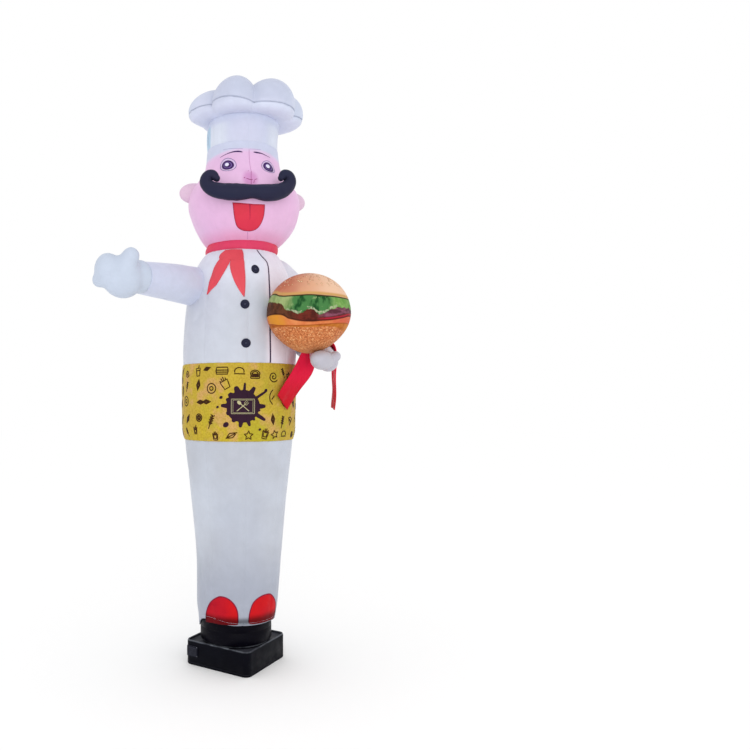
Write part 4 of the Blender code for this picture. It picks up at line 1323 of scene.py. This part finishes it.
def face_print():
    place = FACE.place
    for side, parts in EYES.items():
        for name, shape, ink, lift in (
            ("white", parts["white"], "eye_white", 0.0),
            ("iris", parts["iris"], "purple_ink", 0.0008),
            ("mid", scaled(parts["iris"], 0.70), "violet_ink", 0.0014),
            ("pupil", scaled(parts["iris"], 0.52), "purple_ink", 0.0020),
            ("glint", parts["glint"], "glint", 0.0026),
        ):
            outline = ellipse(*shape, EYE_RADIUS)
            thing = patch(
                f"eye_{side}_{name}", outline, shape[:2], place, ink, 0.0007 + lift
            )
            ride(thing, "pink_cloth")
        ring = ellipse(*parts["white"], EYE_RADIUS, 72)
        rims = [(np.concatenate([ring, ring[:1]]), 0.0012, EYE_RADIUS)]
        thing = ribbons(f"eye_{side}_rims", rims, place, "violet_ink", 0.0013)
        ride(thing, "pink_cloth")

    brows = []
    for points, thick_end in (
        (((-44.2, 2.923), (-38.1, 2.930), (-32.1, 2.936), (-26.3, 2.941), (-20.7, 2.944),
          (-14.5, 2.944), (-8.8, 2.940)), 1),
        (((8.2, 2.943), (15.5, 2.942), (21.7, 2.941), (28.2, 2.936), (37.0, 2.930)), 0),
    ):
        line = along(points, 36)
        t = np.linspace(0, 1, 36)
        t = t if thick_end else 1 - t
        taper = np.sqrt(np.clip(1 - ((t - 0.80) / 0.21) ** 2, 0, 1))
        widths = 0.0008 + 0.0032 * np.where(t < 0.80, (t / 0.80) ** 1.3, taper)
        brows.append((line, widths, BROW_RADIUS))
    ride(ribbons("brows", brows, place, "purple_ink", 0.0010), "pink_cloth")

    nose = [
        (((-8.1, 2.773), (-7.0, 2.769)), 0.0022),
        (((-5.6, 2.767), (-2.2, 2.760), (0.6, 2.762)), 0.0019),
        (((2.6, 2.759), (3.8, 2.763), (5.5, 2.767)), 0.0014),
        (((2.3, 2.756), (1.8, 2.747), (1.2, 2.739)), 0.0012),
        (((0.9, 2.818), (-0.2, 2.789), (-1.0, 2.755), (-1.4, 2.731)), 0.0011),
        (((-3.0, 2.819), (-2.0, 2.820)), 0.0012),
    ]
    lines = [(along(points, 16), half, NOSE_RADIUS) for points, half in nose]
    ride(ribbons("nose_lines", lines, place, "nostril_ink"), "pink_cloth")

    lip = (
        (-20.2, 2.634), (-20.1, 2.606), (-20.0, 2.576), (-19.1, 2.542), (-17.2, 2.518),
        (-13.7, 2.505), (-8.7, 2.497), (-2.7, 2.495), (2.4, 2.497), (6.8, 2.504),
        (9.6, 2.518), (11.4, 2.541), (12.2, 2.567), (12.2, 2.598), (11.9, 2.627),
    )
    upper = along((lip[-1], (-2.8, 2.627), lip[0]), 40)
    lip = along(lip, 100)
    mouth = np.concatenate([lip, upper[1:-1]])
    ride(patch("mouth", mouth, (-3.6, 2.572), place, "mouth_ink"), "pink_cloth")
    edge = [(lip, 0.0011, MOUTH_RADIUS)]
    ride(ribbons("mouth_edge", edge, place, "lip_ink", 0.0012), "pink_cloth")
    fold = along(((-3.2, 2.627), (-3.1, 2.593), (-2.6, 2.548)), 20)
    fold = [(fold, np.linspace(0.0022, 0.0006, 20), FOLD_RADIUS)]
    raised = stacked(place, 0.0006)
    ride(ribbons("mouth_fold", fold, raised, "lip_ink"), "pink_cloth")
    left = ((-40, 2.964), (-30.5, 2.964), (-20.8, 2.963), (-8.3, 2.960))
    right = ((2.0, 2.959), (9.9, 2.960), (20.2, 2.962))
    edges = [
        (along(left, 30), 0.0008, BRIM_RADIUS), (along(right, 20), 0.0007, BRIM_RADIUS)
    ]
    ride(ribbons("brim_lines", edges, place, "faint_ink"), "pink_cloth")
    brow = ((1.4, 2.956), (1.2, 2.90), (1.0, 2.845), (0.9, 2.822))
    chin = ((-2.9, 2.491), (-1.6, 2.474), (-0.4, 2.458))
    seam = [(along(brow, 30), 0.0010, SEAM_RADIUS), (along(chin, 16), 0.0011, SEAM_RADIUS)]
    ride(ribbons("face_seam", seam, place, "seam_ink"), "pink_cloth")


# ---------------------------------------------------------------- jacket, scarf, buttons
def jacket_extras():
    place = TORSO.place
    line = along(
        ((16.0, 2.402), (20.2, 2.364), (25.1, 2.335), (25.8, 2.305), (24.2, 2.252),
         (22.6, 2.165), (21.8, 1.942), (22.8, 1.762)), 90
    )
    ride(ribbons("placket", [(line, 0.0043, 0.31)], place, "plum_ink"), "white_cloth")
    for i, (azimuth, z) in enumerate(BUTTONS, 1):
        rings = []
        for share, lift in (
            (1.0, -0.003), (1.02, 0.001), (0.98, 0.0042), (0.86, 0.0056), (0.74, 0.0046),
            (0.66, 0.0040), (0.30, 0.0038), (0.10, 0.0038),
        ):
            size = BUTTON_RADIUS * share
            outline = ellipse(azimuth, z, size, size, 0, JACKET_RADIUS)
            rings.append(place(outline[:, 0], outline[:, 1], lift))
        thing = rings_mesh(f"button_{i}_disc", rings, "button")
        ride(thing, "navy_cloth", f"button_{i}")
        aside = math.degrees(STITCH / JACKET_RADIUS)
        thread = [
            ([(azimuth - aside, z + rise), (azimuth + aside, z - rise)], 0.0007, JACKET_RADIUS)
            for rise in (-STITCH, STITCH)
        ]
        crossed = ribbons(
            f"button_{i}_thread", thread, stacked(place, 0.0052), "slate_thread"
        )
        ride(crossed, "white_cloth")


def scarf():
    """The neckerchief: a flat top under the neck band and two pointed tails, one cloth."""
    place = TORSO.place
    for name, rows in SCARF_TAILS.items():
        points = along(rows, 40)
        rings = []
        across = np.linspace(-1, 1, 17)
        for i, (azimuth, z, half) in enumerate(points):
            before, after = beside(points, i)
            radius = float(TORSO.profile(z)[0])
            run = math.radians(after[0] - before[0]) * radius
            rise = after[1] - before[1]
            long = math.hypot(run, rise)
            steps = across * max(half, 0.0012)
            here = azimuth + np.degrees(-rise / long * steps / radius)
            height = z + run / long * steps
            loose = min(1.0, i / 10)
            lift = 0.0034 + 0.0022 * (1 - across**2) ** 0.5
            lift = lift + loose * 0.0012 * np.cos(across * 6 + i * 0.08)
            low = place(here, height, 0.0006)
            rings.append(np.concatenate([place(here, height, lift), low[::-1]]))
        thing = rings_mesh(name + "_cloth", rings, "scarf")
        ride(thing, "red_cloth", name)
    sides = (
        ((-32.4, 2.400), (-37.2, 2.372), (-35.6, 2.345), (-29.0, 2.338), (-23.0, 2.338)),
        ((-21.4, 2.338), (-14.0, 2.330), (-6.5, 2.338), (-4.6, 2.366), (-6.8, 2.400)),
    )
    top = along(((-6.8, 2.400), (-20.0, 2.402), (-32.4, 2.400)), 30)
    outline = np.concatenate([along(sides[0], 40), along(sides[1], 40), top[1:-1]])
    thing = patch(
        "scarf_knot_cloth", outline, (-20.5, 2.372), place, "scarf", 0.0052, -0.0006
    )
    ride(thing, "red_cloth", "scarf_knot")


# ---------------------------------------------------------------- shoes and apron print
def shoes():
    for side, points, middle in (
        (
            "left",
            ((-59, 0.272), (-55.6, 0.332), (-47.9, 0.394), (-37.8, 0.428), (-30.3, 0.438),
             (-20.5, 0.429), (-11.9, 0.396), (-7.4, 0.350), (-6.4, 0.292), (-7.6, 0.279),
             (-20, 0.277), (-33, 0.275), (-46, 0.274), (-56, 0.271)),
            (-32, 0.345),
        ),
        (
            "right",
            ((8.6, 0.290), (9.4, 0.351), (14.3, 0.407), (25.6, 0.436), (40.1, 0.437),
             (50.3, 0.412), (59.7, 0.364), (64.0, 0.300), (63, 0.274), (50, 0.272),
             (36, 0.274), (22, 0.276), (13, 0.278)),
            (36, 0.345),
        ),
    ):
        outline = smooth_loop(points, 110)
        thing = patch(f"shoe_{side}", outline, middle, LEG.place, "shoe", rings=12)
        ride(thing, "white_cloth")
        top = along(points[:9] if side == "left" else points[:8], 60)
        edge = ribbons(
            f"shoe_{side}_line", [(top, 0.0030, 0.24)], LEG.place, "shoe_line", 0.0014
        )
        ride(edge, "white_cloth")


# The burst's arms: (turn from +X in degrees, length, half angle in radians)
SPLASH = (
    (0, 0.033, 0.12), (33.6, 0.070, 0.060), (60, 0.033, 0.12), (86, 0.040, 0.065),
    (110, 0.029, 0.15), (136, 0.014, 0.15), (156, 0.008, 0.10), (178, 0.030, 0.11),
    (205, 0.008, 0.12), (238, 0.012, 0.12), (263, 0.029, 0.11), (289, 0.025, 0.09),
    (310, 0.010, 0.08), (328, 0.058, 0.095), (346, 0.008, 0.07),
)
BURST = (-4.3, 1.520)  # azimuth and height of its middle
BURST_RADIUS = 0.089
BURST_WIDE = 1.04
APRON_RADIUS = 0.338


def at(x, y, spot):
    """Azimuth and height of a point drawn x, y metres from a spot on the apron."""
    return (spot[0] + math.degrees(x / APRON_RADIUS), spot[1] + y)


def apron_print():
    """A dark burst with a fork and a spoon, and plain kitchen drawings all round."""
    place = BELLY.place
    t = np.linspace(0, 2 * np.pi, 420, endpoint=False)
    reach = BURST_RADIUS + 0.0015 * np.sin(5 * t + 1)
    for turn, length, width in SPLASH:
        away = (t - math.radians(turn) + np.pi) % (2 * np.pi) - np.pi
        reach += length * np.exp(-((away / width) ** 4))
    burst = np.stack(
        [BURST[0] + np.degrees(reach * BURST_WIDE * np.cos(t) / APRON_RADIUS),
         BURST[1] + reach * np.sin(t)],
        axis=1,
    )
    thing = patch("apron_burst", burst, BURST, place, "dark_ink", rings=18)
    ride(thing, "yellow_cloth")
    for i, (x, y, size) in enumerate(
        ((-0.122, 0.049, 0.010), (-0.142, -0.004, 0.008), (-0.094, -0.101, 0.017),
         (0.129, 0.088, 0.010), (0.096, -0.128, 0.008))
    ):
        spot = at(x, y, BURST)
        outline = ellipse(*spot, size, size * 0.8, 35, APRON_RADIUS, 28)
        drop = patch(f"apron_drop_{i}", outline, spot, place, "dark_ink")
        ride(drop, "yellow_cloth")

    raised = stacked(place, 0.0009)
    cream = []

    def line(corners, count, half):
        spots = dense([at(x, y, BURST) for x, y in corners], count)
        cream.append((spots, half, APRON_RADIUS))

    for shrink, half in ((1.0, 0.0013), (0.86, 0.0009)):
        x, y = 0.064 * shrink, 0.040 * shrink
        line(((-x, -y), (x, -y), (x, y), (-x, y), (-x, -y)), 12, half)
    # a crossed fork and spoon
    line(((-0.034, -0.026), (0.012, 0.012)), 8, 0.0022)
    for dx in (-0.006, 0.0, 0.006):
        line(((0.012 + dx, 0.012 - dx), (0.027 + dx, 0.027 - dx)), 4, 0.0012)
    line(((0.007, 0.017), (0.019, 0.005)), 4, 0.0014)
    line(((0.034, -0.026), (-0.014, 0.014)), 8, 0.0022)
    ride(ribbons("burst_lines", cream, raised, "cream_ink"), "yellow_cloth")
    spot = at(-0.021, 0.020, BURST)
    bowl = ellipse(*spot, 0.013, 0.009, 140, APRON_RADIUS, 28)
    ride(patch("burst_spoon", bowl, spot, raised, "cream_ink"), "yellow_cloth")
    drawings(place)


def dense(points, count):
    """The same corners with more points on each straight side."""
    out = []
    for (x0, y0), (x1, y1) in zip(points, points[1:]):
        for k in range(count):
            out.append((x0 + (x1 - x0) * k / count, y0 + (y1 - y0) * k / count))
    out.append(points[-1])
    return out


def star(tips=5, inner=0.45):
    """A star's outline, its tips 1 from its middle."""
    reach = [(1, inner)[i % 2] for i in range(2 * tips + 1)]
    turns = [math.radians(90 + i * 180 / tips) for i in range(2 * tips + 1)]
    return [(r * math.cos(a), r * math.sin(a)) for r, a in zip(reach, turns)]


def arc(size, start, end, count=16, x=0.0, y=0.0, flat=1.0):
    angles = np.radians(np.linspace(start, end, count))
    return [(x + size * math.cos(a), y + size * flat * math.sin(a)) for a in angles]


# Strokes of each drawing, at size 1
GLYPHS = {
    "star": [star()],
    "cup": [
        [(-0.6, 0.8), (-0.4, -0.9), (0.4, -0.9), (0.6, 0.8), (-0.6, 0.8)],
        [(-0.55, 0.3), (0.55, 0.3)],
        [(0.1, 0.8), (0.35, 1.4)],
    ],
    "bun": [
        [*arc(1, 0, 180, 14, flat=0.8), (1, 0)],
        [(-1, -0.2), (-0.5, -0.35), (0, -0.2), (0.5, -0.35), (1, -0.2)],
        [(-1, -0.5), (-0.9, -0.85), (0.9, -0.85), (1, -0.5), (-1, -0.5)],
    ],
    "ring": [arc(1, 0, 360, 24), arc(0.4, 0, 360, 16)],
    "pie": [
        [(-0.9, 0.7), (0, -1), (0.9, 0.7), *arc(0.95, 45, 135, 8)],
        arc(0.16, 0, 360, 10, -0.2, 0.3),
        arc(0.16, 0, 360, 10, 0.25, 0.0),
    ],
    "leaf": [[(-1, -1), (-0.5, 0.3), (1, 1), (0.4, -0.4), (-1, -1)], [(-1, -1), (0.7, 0.7)]],
    "fork": [
        [(0, -1.5), (0, 0.2)],
        [(-0.35, 1.2), (-0.35, 0.4), (0, 0.1), (0.35, 0.4), (0.35, 1.2)],
        [(0, 0.2), (0, 1.2)],
    ],
    "wheat": [
        [(0, -1.5), (0, 1.3)],
        *([(0, k), (x, k + 0.4)] for x in (0.45, -0.45) for k in (-0.6, -0.1, 0.4, 0.9)),
    ],
    "whirl": [[(math.cos(a) * a / 12, math.sin(a) * a / 12) for a in np.linspace(0.5, 12, 36)]],
    "board": [
        [(-1, -0.6), (1, -0.6), (1.1, 0), (1, 0.6), (-1, 0.6), (-1.1, 0), (-1, -0.6)],
        *([(-1, k), (1, k)] for k in (-0.25, 0.1)),
    ],
    "dome": [[(-1.1, -0.5), (1.2, -0.55)], arc(1, 200, -20, 16, flat=0.8)],
    "arc": [
        [*arc(1, 110, 200, 12, 0.5, 0.0, 1.2), (-0.1, -0.9)],
        [(-0.2, -0.2), (0.3, 0.3)],
    ],
    "carton": [
        [(-0.7, 0.4), (-0.5, -1), (0.5, -1), (0.7, 0.4), (-0.7, 0.4)],
        *([(k, 0.4), (k * 1.25, 1.2 - abs(k))] for k in (-0.5, -0.2, 0.1, 0.4)),
    ],
}
SHRINK = {"fork": 0.8, "wheat": 0.8, "cup": 0.85, "board": 0.9}
INK_HALF = 0.0030  # half the width of a drawn line
# Drawings on the front: (kind, azimuth, height, size, turn, filled in)
FRONT_DRAWINGS = (
    ("whirl", -68.0, 1.705, 0.022, 0.3, False), ("cup", -50.9, 1.712, 0.030, 0.1, False),
    ("leaf", -40.4, 1.728, 0.018, -0.5, True), ("board", -24.4, 1.716, 0.035, 0.0, False),
    ("dome", -8.1, 1.712, 0.026, 0.0, False), ("bun", 6.8, 1.697, 0.027, 0.0, True),
    ("whirl", 25.8, 1.684, 0.031, 0.0, False), ("wheat", 38.5, 1.706, 0.026, 0.4, False),
    ("wheat", -68.5, 1.632, 0.026, -0.3, False), ("leaf", -50.5, 1.640, 0.023, 0.6, True),
    ("ring", -34.9, 1.619, 0.027, 0.0, False), ("carton", -21.6, 1.648, 0.032, 0.5, False),
    ("ring", -70.5, 1.548, 0.027, 0.0, False), ("leaf", -47.6, 1.543, 0.020, -0.75, True),
    ("leaf", -40.4, 1.545, 0.021, -0.75, True), ("arc", 25.2, 1.566, 0.040, 0.1, False),
    ("pie", 40.5, 1.548, 0.028, -0.2, False), ("ring", -49.8, 1.456, 0.021, 0.0, True),
    ("wheat", -35.5, 1.437, 0.037, -0.35, True), ("leaf", -66.8, 1.448, 0.022, 0.2, True),
    ("cup", -54.6, 1.384, 0.026, 0.05, True), ("wheat", -68.8, 1.372, 0.024, 0.5, False),
    ("carton", -31.1, 1.356, 0.023, 0.0, True), ("leaf", -15.1, 1.360, 0.025, -0.3, False),
    ("star", 1.3, 1.359, 0.027, 0.0, False), ("carton", 17.9, 1.368, 0.028, -0.2, True),
    ("star", 28.8, 1.362, 0.026, 0.3, False), ("leaf", 25.9, 1.448, 0.022, 0.9, True),
    ("wheat", 38.4, 1.432, 0.032, -0.25, True), ("dome", 41.8, 1.362, 0.022, 0.0, False),
)
FRONT_SPAN = (-76, 47)
# Drawings round the rest: heights of the rows, how many round, and their limits
DRAWN_HEIGHTS = (1.366, 1.444, 1.524, 1.604, 1.684, 1.726)
DRAWN_ROUND = 24
DRAWN_LOW, DRAWN_HIGH = 1.331, 1.754


def drawings(place):
    """Line drawings in brown: set places on the front, staggered rows round the rest."""
    lines = []

    def draw(name, azimuth, height, size, turn, filled):
        for share in (1.0, 0.62) if filled else (1.0,):
            long = size * share * SHRINK.get(name, 1.0)
            c, s = math.cos(turn) * long, math.sin(turn) * long
            for stroke in GLYPHS[name]:
                spots = [(x * c - y * s, x * s + y * c) for x, y in stroke]
                spots = [at(x, y, (azimuth, height)) for x, y in dense(spots, 2)]
                lines.append((spots, INK_HALF, APRON_RADIUS))

    for row in FRONT_DRAWINGS:
        draw(*row)
    names = list(GLYPHS)
    for row, z in enumerate(DRAWN_HEIGHTS):
        offset = (row % 2) * 7.0 + 1.7 * math.sin(row * 2.1)
        for k in range(DRAWN_ROUND):
            turn = k * 360 / DRAWN_ROUND + 1.6 * math.sin(k * 2.7 + row)
            azimuth = near(-180 + offset + turn, 0)
            if FRONT_SPAN[0] < azimuth < FRONT_SPAN[1] or (row == 5 and k % 2):
                continue
            size = 0.0245 + 0.0045 * math.sin(k * 3.1 + row * 0.7)
            height = z + 0.010 * math.sin(k * 1.9 + row * 1.3)
            height = min(max(height, DRAWN_LOW + size * 1.3), DRAWN_HIGH - size * 1.3)
            name = names[(k * 7 + row * 3) % len(names)]
            turn = 0.5 * math.sin(k * 1.3 + row * 2.9)
            draw(name, azimuth, height, size, turn, (k + 2 * row) % 4 == 0)
    ride(ribbons("apron_drawings", lines, place, "brown_ink"), "yellow_cloth")


# ---------------------------------------------------------------- arms, hands, burger, napkin
ARM_ROWS, ARM_SIDES = 110, 72
ARM_RADIUS, ARM_LENGTH = 0.1, 0.8  # middling, for the weave


def arms():
    def creased(table):
        def relief(turns, length):
            out = 0.0012 * np.sin(turns * 3 + length * 9)
            for where, side, width, depth, gather in table:
                near_it = math.exp(-(((length - where) / width) ** 2))
                facing = 0.5 + 0.5 * np.cos(turns - side)
                out = out - depth * near_it * facing
                out = out + gather * near_it * np.sin(turns * 13 + where * 40)
            return out
        return relief

    right = creased((
        (0.24, 4.0, 0.030, 0.0015, 0.0003), (0.45, 0.6, 0.030, 0.0012, 0.0003),
        (0.62, 2.4, 0.020, 0.0015, 0.0008),
    ))
    left = creased((
        (0.12, 1.0, 0.020, 0.003, 0.0006), (0.24, 4.0, 0.018, 0.004, 0.0008),
        (0.36, 2.2, 0.016, 0.003, 0.0008), (0.47, 0.3, 0.020, 0.005, 0.001),
        (0.55, 2.8, 0.016, 0.004, 0.001), (0.70, 4.5, 0.014, 0.003, 0.001),
    ))
    for node, rows, relief, material in (
        ("right_arm", RIGHT_ARM, right, "sleeve"), ("left_arm", LEFT_ARM, left, "left_sleeve")
    ):
        rings = tube(rows, ARM_ROWS, ARM_SIDES, relief)
        us = np.linspace(0, 2 * np.pi * ARM_RADIUS, ARM_SIDES + 1)
        vs = np.linspace(0, ARM_LENGTH, ARM_ROWS)
        thing = rings_mesh(node + "_cloth", rings, material, us, vs)
        ride(thing, "white_cloth", node)


def cut_past(thing, spot, way):
    """Keeps what lies ahead of a plane, closed over where it was cut."""
    bm = bmesh.new()
    bm.from_mesh(thing.data)
    cut = bmesh.ops.bisect_plane(
        bm, geom=[*bm.verts, *bm.edges, *bm.faces], plane_co=spot, plane_no=way, clear_inner=True
    )
    rim = [g for g in cut["geom_cut"] if isinstance(g, bmesh.types.BMEdge)]
    bmesh.ops.holes_fill(bm, edges=rim, sides=0)
    bm.to_mesh(thing.data)
    bm.free()


def hands():
    for side, lumps, thumb, way, rows, voxel, rounds in (
        ("right", RIGHT_HAND, RIGHT_THUMB, RIGHT_HAND_WAY, RIGHT_ARM, 0.0085, 16),
        ("left", LEFT_HAND, LEFT_THUMB, LEFT_HAND_WAY, LEFT_ARM, 0.0070, 12),
    ):
        hand = hand_mesh(f"{side}_hand_cloth", lumps, thumb, way, voxel, rounds)
        points = along(rows, 2 * len(rows))
        last, before = Vector(points[-1][:3]), Vector(points[-2][:3])
        ahead = (last - before).normalized()
        cut_past(hand, last + ahead * 0.0003, ahead)
        if side == "left":
            move_points(hand, clear_of_ball(points_of(hand), 0.0015))
        hand.data.materials.clear()
        # the left hand's material carries painted shade under the ball
        hand.data.materials.append(MATERIALS["white" if side == "right" else "glove"])
        ride(hand, "white_cloth", f"{side}_hand")


def ball_rim(tilt, grow=0.0):
    """Reach outwards and upwards of the burger ball at a tilt (radians) from its waist."""
    low = np.minimum(0.0, np.sin(tilt))
    reach = (BURGER_RADIUS + grow) * np.cos(tilt) * (1 - BURGER_TAPER * low**2)
    return reach, (BURGER_RADIUS * BURGER_FLAT + grow) * np.sin(tilt)


def ball_reach(way, grow=0.0):
    """How far the burger ball reaches from its middle in each direction."""
    out, rise = ball_rim(np.radians(np.linspace(-90, 90, 721)), grow)
    steepness = np.arctan2(rise, out)
    return np.interp(np.arcsin(np.clip(way[:, 2], -1, 1)), steepness, np.hypot(out, rise))


def clear_of_ball(spots, gap):
    middle = np.array(BURGER_MIDDLE)
    away = spots - middle
    length = np.linalg.norm(away, axis=1)
    way = away / length[:, None]
    reach = ball_reach(way, gap)
    return middle + way * np.maximum(length, reach)[:, None]


def clear_of_jacket(spots, gap):
    z = spots[:, 2]
    middle = lean(z)
    x, y = spots[:, 0] - middle[:, 0], spots[:, 1] - middle[:, 1]
    reach = np.hypot(x, y)
    azimuth = np.degrees(np.arctan2(x, -y))
    inside = TORSO.profile(np.clip(z, TORSO.low, TORSO.high))[:, 0]
    inside = inside * (1 - TORSO.hollow(azimuth)) + gap
    inside = np.where((z > 1.30) & (z < 2.40), inside, 0)
    grown = np.maximum(reach, inside)
    out = spots.copy()
    out[:, 0] = middle[:, 0] + x / reach * grown
    out[:, 1] = middle[:, 1] + y / reach * grown
    return out


def burger():
    grid = around(BURGER_SEAMS, 1.6)
    seams = np.abs(near(grid[:, None], np.array(BURGER_SEAMS)[None, :])).min(axis=1)
    rings = []
    for tilt in np.radians(np.linspace(-89.0, 89.0, 110)):
        reach, rise = ball_rim(tilt)
        reach = reach - 0.0012 * ridge(np.radians(seams) * reach, 0.006)
        ring = ring_at(np.radians(grid), reach, rise) + np.array(BURGER_MIDDLE)
        rings.append(clear_of_jacket(ring, 0.0015))
    thing = rings_mesh("burger_cloth", rings, "burger")
    ride(thing, "burger_cloth", "burger")


def napkin():
    """A red strip folded double lengthways and laid over the forearm, its two ends hanging."""
    points = along(NAPKIN, NAPKIN_ROWS)
    lay, half_gap, half_ply = NAPKIN_WIDTH / 2 - 0.003, 0.0021, 0.0009
    path = [(s, half_gap) for s in np.linspace(1, -1, 15)]
    path += [(-1.035, half_gap * 0.5), (-1.045, 0.0), (-1.035, -half_gap * 0.5)]
    path += [(s, -half_gap) for s in np.linspace(-1, 0.97, 15)]
    path = np.array(path)
    flat = np.stack([path[:, 0] * lay, path[:, 1]], axis=1)
    way = unit(np.gradient(flat, axis=0))
    side = np.stack([-way[:, 1], way[:, 0]], axis=1)
    skin = np.concatenate([flat + side * half_ply, (flat - side * half_ply)[::-1]])
    length = float(np.linalg.norm(np.diff(points[:, :3], axis=0), axis=1).sum())
    rings, run = [], 0.0
    for i, (x, y, z, azimuth) in enumerate(points):
        before, after = beside(points, i)
        ahead = Vector(after[:3] - before[:3]).normalized()
        wide = outwards(azimuth + 90)
        wide = (wide - ahead * wide.dot(ahead)).normalized()
        through = ahead.cross(wide)
        run = i / (NAPKIN_ROWS - 1) * length
        ripple = 0.0030 * np.sin(skin[:, 0] / lay * 3.1 + run * 17 + 0.6)
        ripple = ripple + 0.0022 * np.sin(skin[:, 0] / lay * 6.0 - run * 31)
        loose = min(1.0, abs(run - 0.42) / 0.25)
        ring = [
            np.array(Vector((x, y, z)) + wide * float(s) + through * float(t + r * loose))
            for (s, t), r in zip(skin, ripple)
        ]
        rings.append(ring)
    us = np.linspace(0, 0.55, len(skin) + 1)
    thing = rings_mesh(
        "napkin_cloth", np.array(rings), "napkin", us, np.linspace(0, length, NAPKIN_ROWS)
    )
    ride(thing, "red_cloth", "napkin")


# ---------------------------------------------------------------- blower base
def oblong(inset, corner, z, per_corner=10):
    """A level outline of the base, drawn in from its sides, with rounded corners."""
    long, short = (side / 2 - inset for side in BASE_SIZE)
    one, two = outwards(BASE_TURN), outwards(BASE_TURN + 90)
    corner = max(corner, 0.0005)
    out = []
    for sx, sy, start in ((1, 1, 0), (-1, 1, 90), (-1, -1, 180), (1, -1, 270)):
        for k in range(per_corner + 1):
            a = math.radians(start + 90 * k / per_corner)
            x = sx * (long - corner) + corner * math.cos(a)
            y = sy * (short - corner) + corner * math.sin(a)
            spot = one * x + two * y
            out.append((spot.x, spot.y, z))
    return out


def base():
    floor = BASE_HEIGHT - RIM_DEPTH
    rings = [
        oblong(0.004, BASE_CORNER - 0.004, 0.0), oblong(0.0012, BASE_CORNER, 0.0012),
        oblong(0.0, BASE_CORNER, 0.004),
    ]
    for z in (0.014, 0.0150, 0.0165, 0.0175):
        rings.append(oblong(0.0016 if 0.0148 < z < 0.0170 else 0.0, BASE_CORNER, z))
    rings.append(oblong(0.0, BASE_CORNER, 0.120))
    for angle in range(0, 91, 15):
        drop = 0.012 * (1 - math.sin(math.radians(angle)))
        inset = 0.012 * (1 - math.cos(math.radians(angle)))
        rings.append(oblong(inset * 0.45, BASE_CORNER - inset * 0.45, BASE_HEIGHT - drop))
    for inset, z in (
        (RIM_WIDTH - 0.0015, BASE_HEIGHT), (RIM_WIDTH, BASE_HEIGHT - 0.0015),
        (RIM_WIDTH + 0.002, floor + 0.002), (RIM_WIDTH + 0.005, floor), (0.06, floor),
    ):
        rings.append(oblong(inset, BASE_CORNER / 2, z))
    thing = rings_mesh("blower_housing", np.array(rings), "base")
    ride(thing, "black_plastic", "blower_base")

    turns = np.radians(np.arange(0, 360, 2.5))

    profile = (
        (0.2000, 0.1303), (0.2004, 0.1320), (0.2000, 0.1420), (0.2010, 0.1440), (0.2100, 0.1490),
        (0.2120, 0.1510), (0.2120, 0.2200), (0.2112, 0.2210), (0.2112, 0.2240), (0.2120, 0.2250),
        (0.2120, 0.2925), (0.2100, 0.2947),
        (0.2040, 0.2947), (0.2025, 0.2925), (0.2000, 0.2300), (0.1950, 0.1700), (0.10, 0.1690),
    )
    thing = rings_mesh("collar_moulding", [ring_at(turns, r, z) for r, z in profile], "collar")
    ride(thing, "black_plastic", "outlet_collar")
    vents()


def box_bars(name, bars, material):
    """Small bars with bevelled edges; each is a middle, three half-side vectors and a bevel."""
    bm = bmesh.new()
    for middle, sides, bevel in bars:
        matrix = Matrix((sides[0], sides[1], sides[2])).transposed().to_4x4()
        matrix.translation = middle
        made = bmesh.ops.create_cube(bm, size=2.0, matrix=matrix)
        edges = list({e for v in made["verts"] for e in v.link_edges})
        bmesh.ops.bevel(bm, geom=edges, offset=bevel, segments=2, affect="EDGES", profile=0.7)
    return solid_of(name, bm, material)


def vents():
    """The louvred panel: a frame, sloped ribs and four screws."""
    long, short = (side / 2 for side in BASE_SIZE)
    normal = outwards(BASE_TURN - 90)
    side = outwards(BASE_TURN - 180)
    upward = Vector((0, 0, 1))
    width, height = VENT_SIZE
    middle = normal * (short + 0.0003) + side * (long - VENT_FROM_CORNER) + upward * VENT_MIDDLE
    bars = []

    def bar(out, aside, wide, deep, high, bevel):
        bars.append((middle + normal * out + aside, (wide, deep, high), bevel))

    wide, high = side * width / 2, upward * height / 2
    bar(0.0010, Vector(), wide, normal * 0.0010, high, 0.0004)
    for sign in (-1, 1):
        beside, above = side * sign * (width / 2 - 0.003), upward * sign * (height / 2 - 0.003)
        bar(0.0022, beside, side * 0.003, normal * 0.0022, high, 0.0006)
        bar(0.0022, above, wide, normal * 0.0022, upward * 0.003, 0.0006)
    tilted = (normal * 0.7 - upward * 0.7).normalized()
    other = (normal * 0.7 + upward * 0.7).normalized()
    for i in range(RIBS):
        rise = upward * (-height / 2 + height * (i + 1) / (RIBS + 1))
        bar(0.0028, rise, side * (width / 2 - 0.005), tilted * 0.0026, other * 0.0007, 0.0003)
    thing = box_bars("vent_grille", bars, MATERIALS["grille"])
    ride(thing, "black_plastic", "vent_panel")
    bm = bmesh.new()
    turned = normal.to_track_quat("Z", "Y")
    for sx, sz in ((-1, -1), (-1, 1), (1, -1), (1, 1)):
        spot = middle + side * sx * (width / 2 - 0.004) + upward * sz * (height / 2 - 0.004)
        for radius, depth, lift in ((0.0026, 0.0008, 0.0044), (0.0012, 0.0006, 0.0049)):
            bmesh.ops.create_cone(
                bm, cap_ends=True, segments=20, radius1=radius, radius2=radius * 0.75,
                depth=depth, matrix=Matrix.LocRotScale(spot + normal * lift, turned, None),
            )
    thing = solid_of("vent_screws", bm, MATERIALS["steel"])
    ride(thing, "black_plastic")


# ---------------------------------------------------------------- all of it
MATERIALS = make_materials()
stage_and_camera()
trunk()
puff()
head_extras()
face_print()
jacket_extras()
scarf()
shoes()
apron_print()
arms()
hands()
burger()
napkin()
base()
